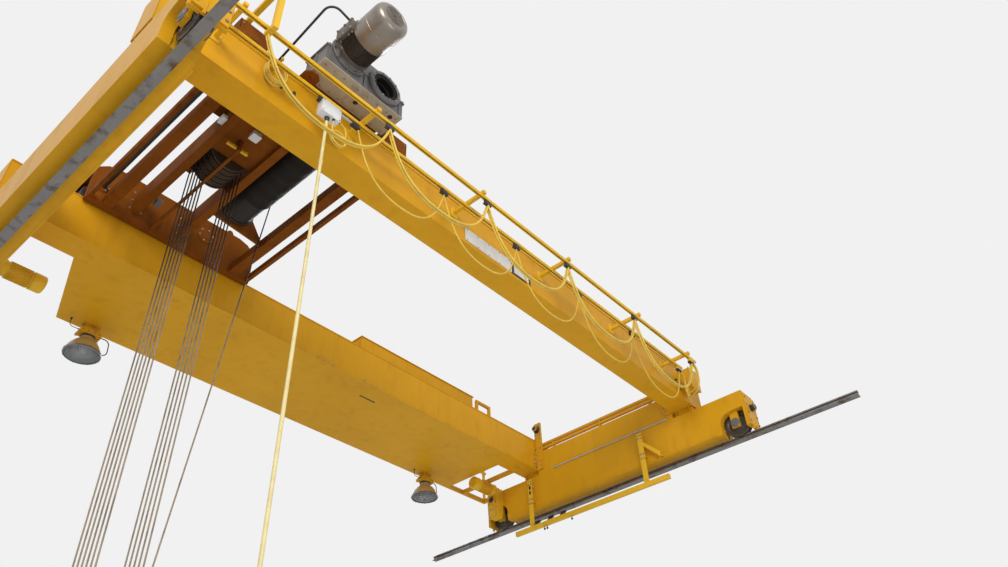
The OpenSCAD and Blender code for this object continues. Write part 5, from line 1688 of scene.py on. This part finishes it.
def drive_details():
    """Motor fins, cowls, hub rings, bolts and terminal boxes of both bridge drives."""
    face, y, z = TRUCK_FACE + 0.170, WHEEL_Y, DRIVE_Z
    at = (face, y, z)
    hub_z = (WHEEL_Z + z) / 2 + 0.035
    bell = [(0, 0.106), (0, 0.128), (0.018, 0.128), (0.024, 0.118), (0.060, 0.112), (0.070, 0.106)]
    cowl = [
        (0.400, 0.106), (0.400, 0.119), (0.404, 0.121), (0.528, 0.121), (0.550, 0.115), (0.562, 0.102),
        (0.566, 0.090), (0.566, 0.066), (0.561, 0.062), (0.561, 0.02)
    ]
    hub = [
        (0, 0.070), (0, 0.086), (0.010, 0.086), (0.014, 0.080), (0.014, 0.050), (0.008, 0.044), (0.008, 0.02)
    ]
    parts = [
        fins(at, ALONG, 0.10, 0.38, 0.100, 0.120, 30, 0.005),
        turned(at, ALONG, bell, 40),
        turned(at, ALONG, cowl, 40),
        block((face - 0.095, y - 0.137, 0.53), (face - 0.075, y + 0.137, 0.70), 0.004),
        block((face + 0.17, y + 0.085, z + 0.03), (face + 0.31, y + 0.155, z + 0.13), 0.010, 2)
    ]
    parts += [turned((face + 0.020, y, hub_at), ALONG, hub, 32) for hub_at in (hub_z, WHEEL_Z)]
    done("bridge_drive_fittings", both_ends(parts), "bridge", BRIGHT_YELLOW, 30)
    places = ring_places((face + 0.034, y, hub_z), 0.066, 6, "yz")
    places += ring_places((face + 0.034, y, WHEEL_Z), 0.066, 6, "yz")
    places += ring_places((face, y, 0.45), 0.105, 6, "yz", 0.4)
    bolts("drive_bolts_near", places, ALONG, 0.007, "bridge")
    bolts("drive_bolts_far", far_end(places), BACK, 0.007, "bridge")
    cap = turned((face + 0.026, y, hub_z), ALONG, [(0, 0.040), (0.004, 0.038), (0.006, 0.012)], 24)
    done("drive_hub_plugs", both_ends([cap]), "bridge", GREASED)
    rings = [(0, 0.042), (0, 0.060), (0.012, 0.060), (0.016, 0.054), (0.012, 0.042)]
    ring = hollow((face + 0.030, y, hub_z), ALONG, rings, 32)
    done("drive_hub_rings", both_ends([ring]), "bridge", HUB_RED, 30)


# Collectors

def collector_pieces():
    """Current collectors: clamp, insulators, sprung arm and shoe, over the CAD blocks."""
    x, top = BAR_X, COLLECTOR_BAR_Z + 0.04
    insulator = [
        (0, 0.016), (0.006, 0.022), (0.012, 0.016), (0.018, 0.023), (0.024, 0.016), (0.030, 0.022),
        (0.036, 0.016), (0.042, 0.020), (0.048, 0.014), (0.056, 0.014)
    ]
    for number, y in enumerate((1.55, 1.24, 0.96)):
        parts = [block((x - 0.060, y - 0.024, top), (x + 0.060, y + 0.024, top + 0.022), 0.004)]
        parts += [turned((x + dx, y, top + 0.020), UP, insulator, 20) for dx in (-0.030, 0.034)]
        high = (x + 0.060, y + 0.055, top + 0.108)
        parts.append(block((x + 0.018, y - 0.055, top + 0.072), high, 0.008, 2))
        parts.append(block((x + 0.024, y - 0.048, top + 0.104), (x + 0.054, y + 0.048, top + 0.110), 0.004))
        for side in (y - 0.034, y + 0.034):
            parts.append(rod((x + 0.039, side, top + 0.05), (x + 0.039, side, top + 0.080), 0.010, 12, 0.002))
        parts.append(block((x - 0.036, y - 0.010, top + 0.066), (x + 0.030, y + 0.010, top + 0.082), 0.004))
        done(f"collector_{number + 1}", parts, "bridge", BLACK_RUBBER, 35, ("collectors",))


def collector_frame_details():
    """Slots, bolts, gussets and bar clips on the collector frame."""
    x, bar, post = BAR_X, COLLECTOR_BAR_Z, POST_Y[1]
    slots = []
    for z in (0.40, 0.50):
        slots.append(block((x - 0.003, post - 0.018, z), (x + 0.002, post + 0.018, z + 0.07), 0.008, 2))
    done("post_slots", slots, "bridge", GREASED)
    heights = (-0.26, 0.22, 0.30, 0.60, 0.66)
    places = [(x, y + dy, z) for y in POST_Y for dy in (-0.028, 0.028) for z in heights]
    bolts("collector_post_bolts", places, BACK, 0.008, "bridge")
    gussets, tags = [], []
    for y in POST_Y:
        for z in (0.25, 0.56):
            gusset = block((x + 0.010, y - 0.006, z + 0.010), (x + 0.090, y + 0.006, z + 0.09), 0.002)
            gussets.append(cut(gusset, (x + 0.090, y, z + 0.02), (1, 0, 1)))
    done("post_gussets", gussets, "bridge", BRIGHT_YELLOW)
    for y in (1.36, 1.30, 0.74):
        tags.append(rod((x - 0.03, y, bar - 0.038), (x - 0.03, y, bar - 0.080), 0.006, 8))
        tags.append(block((x - 0.045, y - 0.014, bar - 0.105), (x - 0.015, y + 0.014, bar - 0.070), 0.006, 2))
    done("collector_bar_clips", tags, "bridge", BLACK_RUBBER)


# Materials of the frame's own nodes; black rubber for those that aren't named

FINISHES = (
    (RAIL_STEEL, ("near_rail", "far_rail", "trolley_rails")),
    (YELLOW, ("girder_a", "girder_b", "truck_near", "truck_far", "end_ties", "platform", "cabinet")),
    (BRIGHT_YELLOW, (
        "bridge_drives", "handrail_posts", "handrail_bars", "collector_frame", "festoon_rails",
        "festoon_arms",
        "tow_arm", "hook_block", "pendant_station"
    )),
    (WHEEL_IRON_SHADED, (
        "bridge_wheel_na", "bridge_wheel_nb", "bridge_wheel_fa", "bridge_wheel_fb", "wheelset_near",
        "wheelset_far"
    )),
    (ORANGE_BROWN, ("frame_a", "frame_b", "cross_beams", "sheave_frame", "drum_bearing")),
    (SHEAVE_IRON, ("upper_sheaves", "block_sheaves")),
    (SILVER, ("lamps", "hoist_motor")),
    (GREASED, ("drum",)),
    (GEAR_GRAY, ("gearbox",)),
    (HOOK_IRON, ("hook",)),
    (BOX_WHITE, ("pendant_carrier",)),
)


def finish_nodes():
    """Gives each node of the frame its material."""
    finish = {name: material for material, names in FINISHES for name in names}
    for name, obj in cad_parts.items():
        material = finish.get(name, BLACK_RUBBER)
        if not obj.material_slots:
            obj.data.materials.append(material)
        for slot in obj.material_slots:
            slot.material = material


add_camera()
add_stage()
finish_nodes()

festoon_cables()
pendant_cable(station())
web_coil()
end_box()
pendant_loop()
carriers()
junction_box()

rope_falls()
rope_wraps()
sheave_details()
sheave_rims()
rope_drum()
gear_case()
gear_underside()
motor()
motor_box()
hook_pieces()
block_details()

bridge_wheels()
trolley_wheels()
frame_details()
beam_details()
deck_boxes()

girder_details()
girder_b_marks()
web_sign()
truck_details()
stop_buffers()
tie_conduit()
platform_details()
guard_rail_details()
cabinet_details()
hanging_lamps()
drive_details()
collector_pieces()
collector_frame_details()
